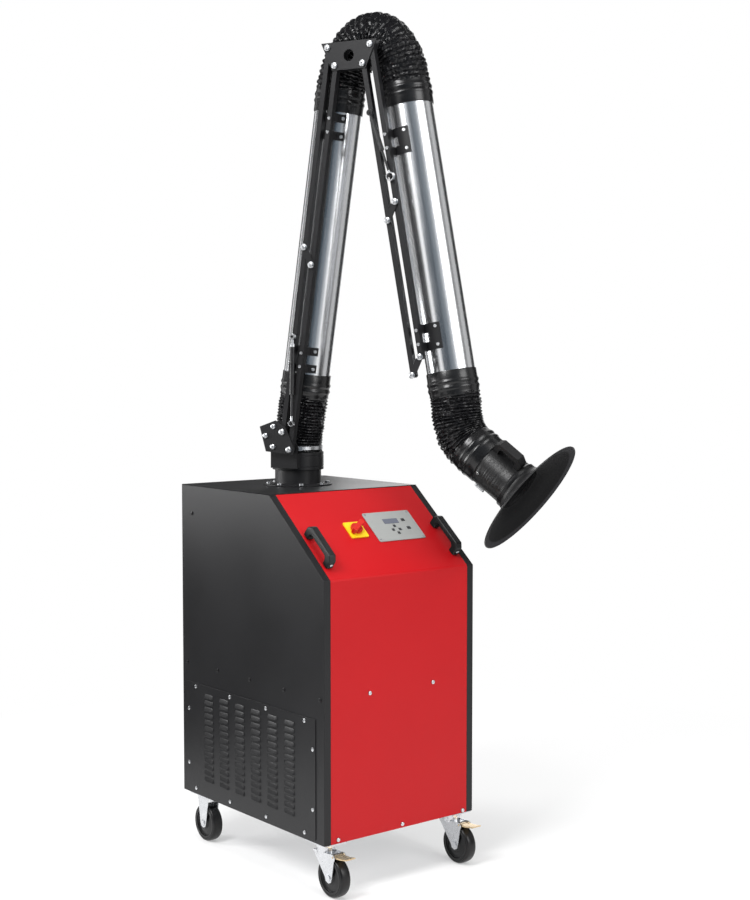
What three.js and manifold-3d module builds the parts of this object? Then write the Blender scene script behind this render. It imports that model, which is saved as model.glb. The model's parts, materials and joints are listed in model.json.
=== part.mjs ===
// Mobile fume extractor: a wheeled filter cabinet that carries a balanced extraction arm with a hood.
// Millimetres, +Z up. The cabinet's front faces -Y, and the floor is at z = 0.
// Groups are nested as the joints are: a group's origin is the pivot that its pieces turn about.
import * as THREE from "three";
import { mergeGeometries, mergeVertices } from "three/addons/utils/BufferGeometryUtils.js";
import Module from "manifold-3d";

// Clearances
const FIT = 0.3; // between pieces that rest on each other
const RUN = 0.3; // radial, between a pin and its hole
const PAST = 1; // how far a cut runs past a face, or a joined piece into its neighbour

// Sides of round pieces, and steps of a hole's half turn
const ROUND = { duct: 24, pin: 10, shaft: 12, body: 16, hood: 28, hole: 5, plateHole: 10, corner: 2 };

// Cabinet
const CABINET_WIDTH = 600;
const CABINET_DEPTH = 800;
const CABINET_BOTTOM = 165;
const CABINET_TOP = 1210;
const FOLD_HEIGHT = 970;
const SLOPE_DEPTH = 284;
const SHEET = 2;
const TRAY_FLANGE = 25;
const PANEL_RETURN = 14;
const PAN_SHEET = 3;
const PAN_LIP = 20;

// Vent in the left side
const VENT_FRONT = 42;
const VENT_BACK = 770;
const VENT_BOTTOM = 175;
const VENT_TOP = 545;
const VENT_RIM = 36;
const LOUVRE_COLUMNS = 6;
const LOUVRE_ROWS = 14;
const LOUVRE_WIDTH = 54;
const LOUVRE_HEIGHT = 14;
const LOUVRE_OUT = 6;
const LOUVRE_WALL = 1.2;
const LOUVRE_COLUMN_PITCH = 92;
const LOUVRE_ROW_PITCH = 21.6;
const LOUVRE_FIELD_BOTTOM = 224;

// Controls on the slope: x from the middle, s up the slope from the fold
const KEYPAD = { x: 92, s: 196, width: 190, length: 126, thick: 3, corner: 6 };
const SWITCH = { x: -66, s: 192, width: 68, length: 66, thick: 5, post: 10, corner: 4 };
const KNOB = { radius: 20, base: 9, wing: 50, wingWide: 17, wingHigh: 17, turn: 0.6 };
const GRAB = { x: 254, from: 46, to: 196, high: 46, thick: 20, wide: 26, foot: 26, chamfer: 14 };

// Castors
const WHEEL = { radius: 62.5, width: 37, hub: 20, hubGap: 1, sides: 16, rim: 46, dish: 5, dishSlope: 3 };
const TREAD = { shoulder: 5, shoulderWide: 7 };
const CASTOR_X = 255;
const SWIVEL_Y = 51;
const TRAIL = 40;
const REAR_AXLE_Y = 716;
const FORK_SHEET = 3;
const CHEEK = { foot: 17, top: 34, lug: 8, lugRise: 7 };
const AXLE = 6;
const NUT = { radius: 11, half: 3, sides: 6, thread: 2 };
const CASTOR_PLATE = { width: 84, length: 100, thick: 4 };
const RACE = { radius: 34, high: 11, inner: 29 };
const CROWN = { bottom: 130, thick: 4, ahead: 45, behind: 37 };
const PEDAL = { pin: 3, ahead: 62, high: 131, reach: 60, thick: 4, toeRise: 5, heel: 9, bend: 5, slack: 1.5 };

// Filter and fan inside the cabinet
const SHELF = { drop: 120, thick: 3, front: 182, hole: 125 };
const FILTER = { flange: 165, flangeThick: 6, outer: 158, inner: 128, bore: 112, pleats: 18, cap: 5 };
const FILTER_ABOVE_FAN = 122.7;
const FAN = { y: 400, housingZ: 332, high: 130, wheel: 138, floorGap: 10, hub: 24, hubDrop: 30 };
const FAN_SHAFT = { radius: 9, drop: 20, seat: 30, seatGap: 2 };
const BLADE = { count: 7, high: 84, thick: 3, tip: 14, root: 2, lean: 0.5, shift: 12, rim: 3 };
const SCROLL = { start: 158, growth: 62, wall: 2, steps: 22, inlet: 92, drainSlack: 12 };
const MOTOR = { radius: 72, foot: 200, footThick: 8, fins: 8, finOut: 6, finThick: 4, finEnd: 24 };

// Arm base
const ARM_Y = 545;
const HEADING = 24.3; // degrees, from straight ahead towards the right
const DUCT = 77.5; // outer radius of the tubes
const DUCT_WALL = 1.5;
const FLANGE = { radius: 114.5, thick: 4 };
const COLLAR = { radius: 86, rise: 52, high: 59, neck: 24, neckStep: 0.5, lip: 6, slack: 1 };
const BASE_FOOT = { half: 50, bottomGap: 8, topGap: 4, back: 62, tongue: 10 };
const BASE_SPACER = 7;

// Linkage: bars run beside the tubes, in layers from the front plates to the rear plates
const MECH_FACE = 122;
const PLATE = 4;
const BAR_DEEP = 22;
const BAR_WIDE = 16;
const PIN = 4;
const PLATE_MARGIN = 15;
const PIVOT_SHIFT = 26;
const PIVOT_RISE = 58;
const LINK_WIDE = 20;
const LINK_PIN_SHORT = 2;

// Lower arm
const LOWER_LEAN = 8; // degrees from upright
const LOWER_PIVOT_X = 36;
const LOWER_PIVOT_RISE = 12; // over the collar
const LOWER_LENGTH = 1242;
const LOWER_TUBE_OFFSET = 35;
const LOWER_TUBE_FROM = 192;
const TUBE_LENGTH = 970;
const LOWER_MID_LINK = 608;
const LOWER_BRACKET_GAP = 6; // from a cuff to the nearest bracket

// Elbow and outer arm
const ELBOW_GAP = 100;
const ELBOW_HOLE = 19;
const OUTER_LEAN = 10.1; // degrees from hanging straight down
const OUTER_LENGTH = 998;
const OUTER_TUBE_OFFSET = 44;
const OUTER_TUBE_FROM = 140;
const OUTER_MID_LINK = 504;
const OUTER_BRACKET_GAP = 72;
const BRACKET = { high: 84, sheet: 2.5, halfAngle: 34, webRoot: 6 };
const BRACKET_WINDOW = { half: 34, high: 30, shift: 0.35 };

// Gas springs: distances along the bars from their pivots
const SPRING = { radius: 8, rod: 4, eye: 10, eyeDeep: 12, head: 24, ringWall: 3.5, blind: 8 };
const STUD = { gap: 3, out: 3 }; // from a bar to its spring, and past the spring
const LOWER_SPRING = { parallel: 316, main: 88, cylinder: 190, rodFrom: 95, slack: 2.4 };
const OUTER_SPRING = { parallel: 160, main: 425, cylinder: 128, rodFrom: 40, slack: 6.6 };

// Hoses
const HOSE = { crest: 80, valley: 76, sides: 10, pitch: 15, lead: 3, runOn: 2 };
const HOSE_BORE = { radius: 73.5, every: 5, ease: 4 };
const CUFF = { radius: 80.5, bead: 83.5, roll: 9, length: 82, over: 58, plain: 12 };
const ELBOW_STRAIGHT = 88;
const HOOD_BEND = 104;

// Hood
const HOOD_ANGLE = 52.3; // degrees from hanging straight down
const HOOD_DROP = 159; // from the outer tube's end to the bend's corner
const NECK_FROM = 40;
const NECK_TO = 243;
const NECK_STEP = { radius: 83, from: 225, chamfer: 4 };
const BELL = { radius: 207, depth: 54, wall: 3, root: 84, edge: 4, rootDeep: 9 };
// The bell's outline: how far out of the root and down, and how far in from the rim and up
const BELL_THROAT = [10, 14];
const BELL_KNEE = [38, 26];
const BELL_LIP = [30, 12];
const BELL_INNER_THROAT = 4;
const BELL_INNER_SHIFT = 2;
const HOOD_CUFF_FROM = 37;
const HOOD_CUFF_SHORT = 10;
const TILT_DEPTH = 20;
const SWING_DEPTH = 4;
const JOINT_BAR = 5;
const JOINT_EYE = 9;
const JOINT_ROD = 6;
const DAMPER = { gap: 12, radius: 70, thick: 2, shaft: 4 };
const LEVER = { length: 26, thick: 5, wide: 12, out: 6 };
const HANDLE = { gap: 3, to: 228, high: 44, thick: 17, wide: 30, chamfer: 16, turn: 35, foot: 20 };

const RAD = Math.PI / 180;
const wasm = await Module();
wasm.setup();

// Finishes
function finish(color, roughness, metalness) {
  return new THREE.MeshStandardMaterial({ color, roughness, metalness });
}
const BLACK_PAINT = finish(0x232427, 0.45, 0.2);
const RED_PAINT = finish(0xd81e24, 0.35, 0.1);
const ZINC = finish(0xb4bac2, 0.35, 0.9);
const POLISHED = finish(0xd8dadd, 0.15, 1);
const RUBBER = finish(0x17181a, 0.75, 0);
const HOSE_BLACK = finish(0x101113, 0.3, 0);
const MOULDED = finish(0x1c1d1f, 0.6, 0);
const KEYPAD_GREY = finish(0xa5a8a5, 0.4, 0.6);
const YELLOW = finish(0xfacd14, 0.4, 0);
const KNOB_RED = finish(0xc81e14, 0.35, 0);
const CAST = finish(0x8b8f94, 0.5, 0.7);
const PAPER = finish(0xe6e2d6, 0.9, 0);

// Solids
function solid(geometry) {
  const bare = geometry.index ? geometry.toNonIndexed() : geometry.clone();
  bare.deleteAttribute("normal");
  bare.deleteAttribute("uv");
  const merged = mergeVertices(bare, 1e-4);
  const corners = merged.index.array;
  const kept = [];
  for (let i = 0; i < corners.length; i += 3) {
    const [a, b, c] = corners.subarray(i, i + 3);
    if (a !== b && b !== c && c !== a) kept.push(a, b, c);
  }
  const vertProperties = merged.attributes.position.array;
  return new wasm.Manifold(new wasm.Mesh({ numProp: 3, vertProperties, triVerts: new Uint32Array(kept) }));
}

function join(first, ...others) {
  return others.reduce((whole, geometry) => whole.add(solid(geometry)), solid(first));
}

function cut(whole, ...tools) {
  return tools.reduce((rest, geometry) => rest.subtract(solid(geometry)), whole);
}

function piece(parent, name, shape, material) {
  const { vertProperties, triVerts } = (shape.isBufferGeometry ? solid(shape) : shape).getMesh();
  const geometry = new THREE.BufferGeometry();
  geometry.setAttribute("position", new THREE.BufferAttribute(vertProperties, 3));
  geometry.setIndex(new THREE.BufferAttribute(triVerts, 1));
  geometry.computeVertexNormals();
  const mesh = new THREE.Mesh(geometry, material);
  mesh.name = name;
  parent.add(mesh);
  return mesh;
}

function group(parent, name, x, y, z) {
  const made = new THREE.Group();
  made.name = name;
  made.position.set(x, y, z);
  parent.add(made);
  return made;
}

// Geometry
function box(x0, x1, y0, y1, z0, z1) {
  const made = new THREE.BoxGeometry(x1 - x0, y1 - y0, z1 - z0);
  return made.translate((x0 + x1) / 2, (y0 + y1) / 2, (z0 + z1) / 2);
}

// A cylinder along Z from z0 to z1.
function rod(radius, z0, z1, sides = ROUND.pin) {
  const made = new THREE.CylinderGeometry(radius, radius, z1 - z0, sides);
  return made.rotateX(Math.PI / 2).translate(0, 0, (z0 + z1) / 2);
}

function rodAlongX(radius, x0, x1, y, z, sides = ROUND.pin) {
  return rod(radius, x0, x1, sides).rotateY(Math.PI / 2).translate(0, y, z);
}

function rodAlongY(radius, y0, y1, x, z, sides = ROUND.pin) {
  return rod(radius, y0, y1, sides).rotateX(-Math.PI / 2).translate(x, 0, z);
}

// Round holes are given as x, y and radius.
function pierce(shape, ...holes) {
  for (const [x, y, radius] of holes) {
    const hole = new THREE.Path();
    hole.absarc(x, y, radius, 0, 2 * Math.PI, true);
    shape.holes.push(hole);
  }
  return shape;
}

// A flat outline, drawn anticlockwise whichever way its points are listed.
function outline(points, holes = []) {
  const ordered = signedArea(points) < 0 ? [...points].reverse() : points;
  const shape = new THREE.Shape(ordered.map(([x, y]) => new THREE.Vector2(x, y)));
  return pierce(shape, ...holes);
}

function slab(shape, depth, curveSegments = ROUND.plateHole) {
  return new THREE.ExtrudeGeometry(shape, { depth, bevelEnabled: false, curveSegments });
}

// A slab whose outline is drawn in Y and Z, from x0 to x1.
function slabAlongX(shape, x0, x1, curveSegments) {
  const turn = new THREE.Matrix4().makeBasis(
    new THREE.Vector3(0, 1, 0),
    new THREE.Vector3(0, 0, 1),
    new THREE.Vector3(1, 0, 0),
  );
  return slab(shape, x1 - x0, curveSegments).applyMatrix4(turn).translate(x0, 0, 0);
}

// A slab whose outline is drawn in X and Z, from y0 to y1.
function slabAlongY(shape, y0, y1, curveSegments) {
  return slab(shape, y1 - y0, curveSegments).rotateX(Math.PI / 2).translate(0, y1, 0);
}

function signedArea(points) {
  return points.reduce((sum, [x, y], i) => {
    const [nextX, nextY] = points[(i + 1) % points.length];
    return sum + (x * nextY - nextX * y) / 2;
  }, 0);
}

// A profile of radius and height, turned about Z. A ring's profile closes on itself.
function revolve(profile, sides = ROUND.duct) {
  const ordered = signedArea(profile) < 0 ? [...profile].reverse() : [...profile];
  const onAxis = ordered[0][0] === 0 && ordered.at(-1)[0] === 0;
  if (!onAxis) ordered.push(ordered[0]);
  const points = ordered.map(([r, z]) => new THREE.Vector2(r, z));
  return new THREE.LatheGeometry(points, sides).rotateX(Math.PI / 2);
}

function ring(outer, inner, z0, z1, sides) {
  return revolve([[inner, z0], [outer, z0], [outer, z1], [inner, z1]], sides);
}

// A convex outline moved inwards by a distance, or outwards by a negative one.
function inset(points, distance) {
  const turn = Math.sign(signedArea(points));
  const sides = points.map(([x, y], i) => {
    const [nextX, nextY] = points[(i + 1) % points.length];
    const length = Math.hypot(nextX - x, nextY - y);
    const normal = [(-turn * (nextY - y)) / length, (turn * (nextX - x)) / length];
    return { normal, reach: normal[0] * x + normal[1] * y + distance };
  });
  return points.map((_, i) => {
    const a = sides[(i + points.length - 1) % points.length];
    const b = sides[i];
    const area = a.normal[0] * b.normal[1] - a.normal[1] * b.normal[0];
    return [
      (a.reach * b.normal[1] - b.reach * a.normal[1]) / area,
      (b.reach * a.normal[0] - a.reach * b.normal[0]) / area,
    ];
  });
}

// A long outline with round ends about two points.
function stadium(x0, y0, x1, y1, radius) {
  const heading = Math.atan2(y1 - y0, x1 - x0);
  const shape = new THREE.Shape();
  shape.absarc(x0, y0, radius, heading + Math.PI / 2, heading + 1.5 * Math.PI, false);
  shape.absarc(x1, y1, radius, heading - Math.PI / 2, heading + Math.PI / 2, false);
  return shape;
}

const part = new THREE.Group();
const cabinet = group(part, "cabinet", 0, 0, 0);

// Cabinet shell
const HALF_WIDTH = CABINET_WIDTH / 2;
const SIDE_TOP = CABINET_TOP - SHEET - FIT;
const SIDE_BACK = CABINET_DEPTH - SHEET - FIT;
const SLOPE_RISE = SIDE_TOP - FOLD_HEIGHT;
const SLOPE_ANGLE = Math.atan2(SLOPE_RISE, SLOPE_DEPTH);
const SIDE_OUTLINE = [
  [0, CABINET_BOTTOM],
  [SIDE_BACK, CABINET_BOTTOM],
  [SIDE_BACK, SIDE_TOP],
  [SLOPE_DEPTH, SIDE_TOP],
  [0, FOLD_HEIGHT],
];

// A side is a folded tray: a sheet with a flange all round that points into the cabinet.
function sideTray(side) {
  const outer = side * HALF_WIDTH;
  const inner = side * (HALF_WIDTH - TRAY_FLANGE);
  const skin = side * (HALF_WIDTH - SHEET);
  const whole = slabAlongX(outline(SIDE_OUTLINE), Math.min(outer, inner), Math.max(outer, inner));
  const inside = outline(inset(SIDE_OUTLINE, SHEET));
  return cut(solid(whole), slabAlongX(inside, Math.min(skin, inner), Math.max(skin, inner)));
}

const ventWindow = box(
  -HALF_WIDTH - SHEET, -HALF_WIDTH + 2 * SHEET,
  VENT_FRONT + VENT_RIM, VENT_BACK - VENT_RIM,
  VENT_BOTTOM + VENT_RIM, VENT_TOP - VENT_RIM,
);
piece(cabinet, "left_side_panel", cut(sideTray(-1), ventWindow), BLACK_PAINT);
piece(cabinet, "right_side_panel", sideTray(1), BLACK_PAINT);

// The front is one folded red sheet between the side flanges, with stiffening returns at its edges.
function frontPanel() {
  const half = HALF_WIDTH - TRAY_FLANGE - FIT;
  const inner = inset(SIDE_OUTLINE, SHEET);
  const deep = inset(SIDE_OUTLINE, PANEL_RETURN);
  const [bottom, , , top, fold] = SIDE_OUTLINE;
  const band = (edge) => outline([bottom, fold, top, edge[3], edge[4], edge[0]]);
  return join(
    slabAlongX(band(inner), -half, half),
    slabAlongX(band(deep), -half, -half + SHEET),
    slabAlongX(band(deep), half - SHEET, half),
  );
}
piece(cabinet, "front_panel", frontPanel(), RED_PAINT);

const topOutline = [
  [-HALF_WIDTH, SLOPE_DEPTH], [HALF_WIDTH, SLOPE_DEPTH],
  [HALF_WIDTH, CABINET_DEPTH], [-HALF_WIDTH, CABINET_DEPTH],
];
const topPlate = slab(outline(topOutline, [[0, ARM_Y, DUCT - DUCT_WALL]]), SHEET);
piece(cabinet, "top_plate", topPlate.translate(0, 0, CABINET_TOP - SHEET), BLACK_PAINT);
const backPanel = box(
  -HALF_WIDTH, HALF_WIDTH, CABINET_DEPTH - SHEET, CABINET_DEPTH, CABINET_BOTTOM, SIDE_TOP,
);
piece(cabinet, "back_panel", backPanel, BLACK_PAINT);

const PAN_FLOOR = CABINET_BOTTOM + SHEET + FIT;
const PAN_TOP = PAN_FLOOR + PAN_SHEET;
const INSIDE_HALF = HALF_WIDTH - SHEET - FIT;
const INSIDE_BACK = SIDE_BACK - SHEET - FIT;
function basePan() {
  const front = PANEL_RETURN + FIT;
  const floor = box(-INSIDE_HALF, INSIDE_HALF, front, INSIDE_BACK, PAN_FLOOR, PAN_TOP);
  const lips = [-1, 1].map((side) => {
    const outer = side * INSIDE_HALF;
    const inner = side * (INSIDE_HALF - PAN_SHEET);
    const [x0, x1] = [Math.min(outer, inner), Math.max(outer, inner)];
    return box(x0, x1, front, INSIDE_BACK, PAN_FLOOR, PAN_FLOOR + PAN_LIP);
  });
  return join(floor, ...lips);
}
piece(cabinet, "base_pan", basePan(), ZINC);

// Louvres are pressed outwards and open downwards.
function louvrePanel() {
  const back = -HALF_WIDTH - FIT;
  const face = back - SHEET;
  const lip = face - LOUVRE_OUT;
  const middle = (VENT_FRONT + VENT_BACK) / 2;
  const hoods = [];
  const throats = [];
  for (let column = 0; column < LOUVRE_COLUMNS; column += 1) {
    for (let row = 0; row < LOUVRE_ROWS; row += 1) {
      const y = middle + (column - (LOUVRE_COLUMNS - 1) / 2) * LOUVRE_COLUMN_PITCH;
      const low = LOUVRE_FIELD_BOTTOM + row * LOUVRE_ROW_PITCH;
      const hood = outline([[face + SHEET / 2, low + LOUVRE_HEIGHT], [lip, low], [face + SHEET / 2, low]]);
      const throat = outline([
        [back + SHEET, low + LOUVRE_HEIGHT - LOUVRE_WALL],
        [lip + LOUVRE_WALL, low - LOUVRE_WALL],
        [back + SHEET, low - LOUVRE_WALL],
      ]);
      const half = LOUVRE_WIDTH / 2;
      hoods.push(slabAlongY(hood, y - half, y + half));
      throats.push(slabAlongY(throat, y - half + LOUVRE_WALL, y + half - LOUVRE_WALL));
    }
  }
  const sheet = box(face, back, VENT_FRONT, VENT_BACK, VENT_BOTTOM, VENT_TOP);
  return cut(join(sheet, mergeGeometries(hoods)), mergeGeometries(throats));
}
piece(cabinet, "louvre_panel", louvrePanel(), BLACK_PAINT);

// Controls and grab handles stand on the slope: y runs up it and z points out of it.
const slope = group(cabinet, "slope", 0, 0, FOLD_HEIGHT);
slope.rotation.x = SLOPE_ANGLE;

function platedOutline({ width, length, corner }) {
  const shape = new THREE.Shape();
  const [x, y] = [width / 2 - corner, length / 2 - corner];
  shape.absarc(x, y, corner, 0, Math.PI / 2);
  shape.absarc(-x, y, corner, Math.PI / 2, Math.PI);
  shape.absarc(-x, -y, corner, Math.PI, 1.5 * Math.PI);
  shape.absarc(x, -y, corner, 1.5 * Math.PI, 2 * Math.PI);
  return shape;
}
const keypad = slab(platedOutline(KEYPAD), KEYPAD.thick, ROUND.corner);
piece(slope, "control_panel", keypad.translate(KEYPAD.x, KEYPAD.s, FIT), KEYPAD_GREY);
const switchSlab = slab(platedOutline(SWITCH), SWITCH.thick, ROUND.corner);
const switchPlate = cut(
  solid(switchSlab.translate(SWITCH.x, SWITCH.s, FIT)),
  rod(SWITCH.post + 2 * RUN, 0, SWITCH.thick + PAST, ROUND.body).translate(SWITCH.x, SWITCH.s, 0),
);
piece(slope, "switch_plate", switchPlate, YELLOW);

const knob = group(slope, "switch_turn", SWITCH.x, SWITCH.s, SWITCH.thick + 2 * FIT);
knob.rotation.z = KNOB.turn;
const wingShape = stadium(-KNOB.wing / 2, 0, KNOB.wing / 2, 0, KNOB.wingWide / 2);
const knobWing = slab(wingShape, KNOB.wingHigh, ROUND.hole);
const knobSolid = join(
  rod(KNOB.radius, 0, KNOB.base, ROUND.body),
  rod(SWITCH.post, -SWITCH.thick, KNOB.base / 2, ROUND.body),
  knobWing.translate(0, 0, KNOB.base / 2),
);
piece(knob, "switch_knob", knobSolid, KNOB_RED);

// A bow handle: two feet, chamfered shoulders and a straight grip, cut from one profile.
function bow(from, to, high, thick, chamfer, foot, base) {
  return [
    [from, base], [from, high - chamfer], [from + chamfer, high], [to - chamfer, high], [to, high - chamfer],
    [to, base], [to - foot, base], [to - foot, high - thick - chamfer / 2],
    [to - foot - chamfer / 2, high - thick], [from + foot + chamfer / 2, high - thick],
    [from + foot, high - thick - chamfer / 2], [from + foot, base],
  ];
}
for (const [name, side] of [["left", -1], ["right", 1]]) {
  const profile = outline(bow(GRAB.from, GRAB.to, GRAB.high, GRAB.thick, GRAB.chamfer, GRAB.foot, FIT));
  const x = side * GRAB.x;
  piece(slope, `grab_handle_${name}`, slabAlongX(profile, x - GRAB.wide / 2, x + GRAB.wide / 2), MOULDED);
}

// Filter: a shelf with a round opening, and a pleated cartridge that hangs under it.
const SHELF_Z = CABINET_TOP - SHELF.drop;
const HOUSING_TOP = FAN.housingZ + FAN.high;
const shelfOutline = [
  [-INSIDE_HALF, SHELF.front], [INSIDE_HALF, SHELF.front],
  [INSIDE_HALF, INSIDE_BACK], [-INSIDE_HALF, INSIDE_BACK],
];
const shelf = slab(outline(shelfOutline, [[0, ARM_Y, SHELF.hole]]), SHELF.thick).translate(0, 0, SHELF_Z);
piece(cabinet, "filter_shelf", shelf, ZINC);

function filterCartridge() {
  const top = SHELF_Z - FIT;
  const bottom = HOUSING_TOP + FILTER_ABOVE_FAN + FILTER.cap;
  const pleats = [];
  for (let i = 0; i < 2 * FILTER.pleats; i += 1) {
    const angle = (Math.PI * i) / FILTER.pleats;
    const radius = i % 2 ? FILTER.inner : FILTER.outer;
    pleats.push([radius * Math.cos(angle), radius * Math.sin(angle)]);
  }
  const paper = slab(outline(pleats, [[0, 0, FILTER.bore]]), top - bottom - FILTER.flangeThick);
  return join(
    paper.translate(0, 0, bottom),
    ring(FILTER.flange, FILTER.bore, top - FILTER.flangeThick, top),
    rod(FILTER.outer, bottom - FILTER.cap, bottom + FILTER.cap, ROUND.body),
  );
}
piece(group(cabinet, "filter", 0, ARM_Y, 0), "filter_cartridge", filterCartridge(), PAPER);

// Fan: a motor on the base pan, a scroll housing on the motor and a bladed wheel on the shaft.
const fan = group(cabinet, "fan", 0, FAN.y, 0);
const MOUTH_X = -(INSIDE_HALF - PAN_SHEET - FIT);

function scroll(wall) {
  const points = [];
  for (let i = 0; i <= SCROLL.steps; i += 1) {
    const turn = i / SCROLL.steps;
    const angle = Math.PI * (0.5 - 1.5 * turn);
    const radius = SCROLL.start + SCROLL.growth * turn - wall;
    points.push([radius * Math.cos(angle), radius * Math.sin(angle)]);
  }
  const widest = SCROLL.start + SCROLL.growth - wall;
  return [...points.slice(0, -1), [-widest, 0], [MOUTH_X, 0], [MOUTH_X, SCROLL.start - wall]];
}
function fanHousing() {
  const wall = SCROLL.wall;
  const shell = slab(outline(scroll(0)), FAN.high).translate(0, 0, FAN.housingZ);
  const hollow = slab(outline(scroll(wall)), FAN.high - 2 * wall).translate(0, 0, FAN.housingZ + wall);
  const mouth = box(
    MOUTH_X - wall, MOUTH_X + 2 * wall, wall, SCROLL.start - wall, FAN.housingZ + wall, HOUSING_TOP - wall,
  );
  return cut(
    solid(shell), hollow, mouth,
    rod(SCROLL.inlet, HOUSING_TOP - 2 * wall, HOUSING_TOP + wall, ROUND.body),
    rod(FAN.hub + SCROLL.drainSlack, FAN.housingZ - wall, FAN.housingZ + 2 * wall, ROUND.shaft),
  );
}
piece(fan, "fan_housing", fanHousing(), ZINC);

const MOTOR_TOP = FAN.housingZ - FIT;
const MOTOR_BOTTOM = PAN_TOP + FIT;
function fanMotor() {
  const half = MOTOR.foot / 2;
  const { finOut, finThick, finEnd } = MOTOR;
  const fins = [];
  for (let i = 0; i < MOTOR.fins; i += 1) {
    const fin = box(
      0, MOTOR.radius + finOut, -finThick / 2, finThick / 2, MOTOR_BOTTOM + finEnd, MOTOR_TOP - finEnd,
    );
    fins.push(fin.rotateZ((2 * Math.PI * i) / MOTOR.fins));
  }
  const body = join(
    rod(MOTOR.radius, MOTOR_BOTTOM, MOTOR_TOP, ROUND.body),
    box(-half, half, -half, half, MOTOR_BOTTOM, MOTOR_BOTTOM + MOTOR.footThick),
    box(-half, half, -half, half, MOTOR_TOP - MOTOR.footThick, MOTOR_TOP),
    ...fins,
  );
  const seat = MOTOR_BOTTOM + FAN_SHAFT.seat;
  return cut(body, rod(FAN_SHAFT.radius + RUN, seat, MOTOR_TOP + PAST, ROUND.shaft));
}
piece(fan, "fan_motor", fanMotor(), CAST);

function fanImpeller() {
  const low = FAN.housingZ + SCROLL.wall + FAN.floorGap;
  const high = low + BLADE.high;
  const half = BLADE.thick / 2;
  const blades = [];
  for (let i = 0; i < BLADE.count; i += 1) {
    const blade = box(FAN.hub - BLADE.root, FAN.wheel - BLADE.tip, -half, half, low, high);
    const leaning = blade.rotateZ(-BLADE.lean).translate(0, BLADE.shift, 0);
    blades.push(leaning.rotateZ((2 * Math.PI * i) / BLADE.count));
  }
  const shaftFoot = MOTOR_BOTTOM + FAN_SHAFT.seat + FAN_SHAFT.seatGap;
  return join(
    ring(FAN.wheel, FAN_SHAFT.radius - PAST, low, low + BLADE.rim, ROUND.body),
    rod(FAN.hub, low, high - FAN.hubDrop, ROUND.shaft),
    rod(FAN_SHAFT.radius, shaftFoot, high - FAN_SHAFT.drop, ROUND.shaft),
    ring(FAN.wheel, SCROLL.inlet, high - BLADE.rim, high, ROUND.body),
    ...blades,
  );
}
piece(group(fan, "fan_spin", 0, 0, 0), "fan_impeller", fanImpeller(), CAST);

// Castors
const AXLE_Z = WHEEL.radius;
const WHEEL_HALF = WHEEL.width / 2;
const HUB_HALF = WHEEL_HALF + WHEEL.hubGap;
const LEG_INNER = HUB_HALF + FIT;
const LEG_OUTER = LEG_INNER + FORK_SHEET;

// A wheel stands on one flat of its tread, so its corners lie a little further out.
function wheel() {
  const corner = WHEEL.radius / Math.cos(Math.PI / WHEEL.sides);
  const tread = corner - TREAD.shoulder;
  const half = [
    [AXLE + RUN, -HUB_HALF], [WHEEL.hub, -HUB_HALF], [WHEEL.rim - WHEEL.dishSlope, -WHEEL_HALF + WHEEL.dish],
    [WHEEL.rim, -WHEEL_HALF], [tread, -WHEEL_HALF], [corner, -WHEEL_HALF + TREAD.shoulderWide],
  ];
  const profile = [...half, ...half.map(([r, x]) => [r, -x]).reverse()];
  return revolve(profile, WHEEL.sides).rotateZ(Math.PI / WHEEL.sides).rotateY(Math.PI / 2);
}

function axle(y) {
  const end = LEG_OUTER + NUT.thread;
  const nut = (x) => rodAlongX(NUT.radius, x - NUT.half, x + NUT.half, y, AXLE_Z, NUT.sides);
  return [rodAlongX(AXLE, -end, end, y, AXLE_Z), nut(-LEG_OUTER), nut(LEG_OUTER)];
}

function legs(shape) {
  const leg = (x) => slabAlongX(shape, x, x + FORK_SHEET, ROUND.corner);
  return [leg(-LEG_OUTER), leg(LEG_INNER)];
}

const CROWN_TOP = CROWN.bottom + CROWN.thick;
const RACE_TOP = CABINET_BOTTOM - FIT - CASTOR_PLATE.thick;
const RACE_SPLIT = RACE_TOP - RACE.high;

function plateBox() {
  const [halfX, halfY] = [CASTOR_PLATE.width / 2, CASTOR_PLATE.length / 2];
  return box(-halfX, halfX, -halfY, halfY, RACE_TOP, RACE_TOP + CASTOR_PLATE.thick);
}

function swivelFork() {
  const cheek = new THREE.Shape();
  cheek.moveTo(CROWN.behind, CROWN_TOP);
  cheek.lineTo(-PEDAL.ahead, PEDAL.high + CHEEK.lugRise);
  cheek.lineTo(-PEDAL.ahead - CHEEK.lug, PEDAL.high);
  cheek.lineTo(-TRAIL - CHEEK.foot, AXLE_Z);
  cheek.absarc(-TRAIL, AXLE_Z, CHEEK.foot, Math.PI, 2 * Math.PI, false);
  const pinEnd = LEG_OUTER + PAST;
  const pinHole = rodAlongX(PEDAL.pin + RUN, -pinEnd, pinEnd, -PEDAL.ahead, PEDAL.high);
  const fork = join(
    box(-LEG_OUTER, LEG_OUTER, -CROWN.ahead, CROWN.behind, CROWN.bottom, CROWN_TOP),
    rod(RACE.inner, CROWN.bottom, RACE_SPLIT - FIT, ROUND.shaft),
    ...legs(cheek),
    ...axle(-TRAIL),
  );
  return cut(fork, pinHole);
}

function brakePedal() {
  const { pin, thick, reach, toeRise, heel, bend, slack } = PEDAL;
  const profile = [
    [heel, -thick], [heel, thick / 2], [-reach / 2, thick / 2], [-reach, thick / 2 + toeRise],
    [-reach, toeRise - thick / 2], [-reach / 2, -thick / 2], [-bend, -thick],
  ];
  const half = LEG_INNER - slack;
  const pinEnd = LEG_OUTER + PAST;
  return join(slabAlongX(outline(profile), -half, half), rodAlongX(pin, -pinEnd, pinEnd, 0, 0));
}

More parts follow.
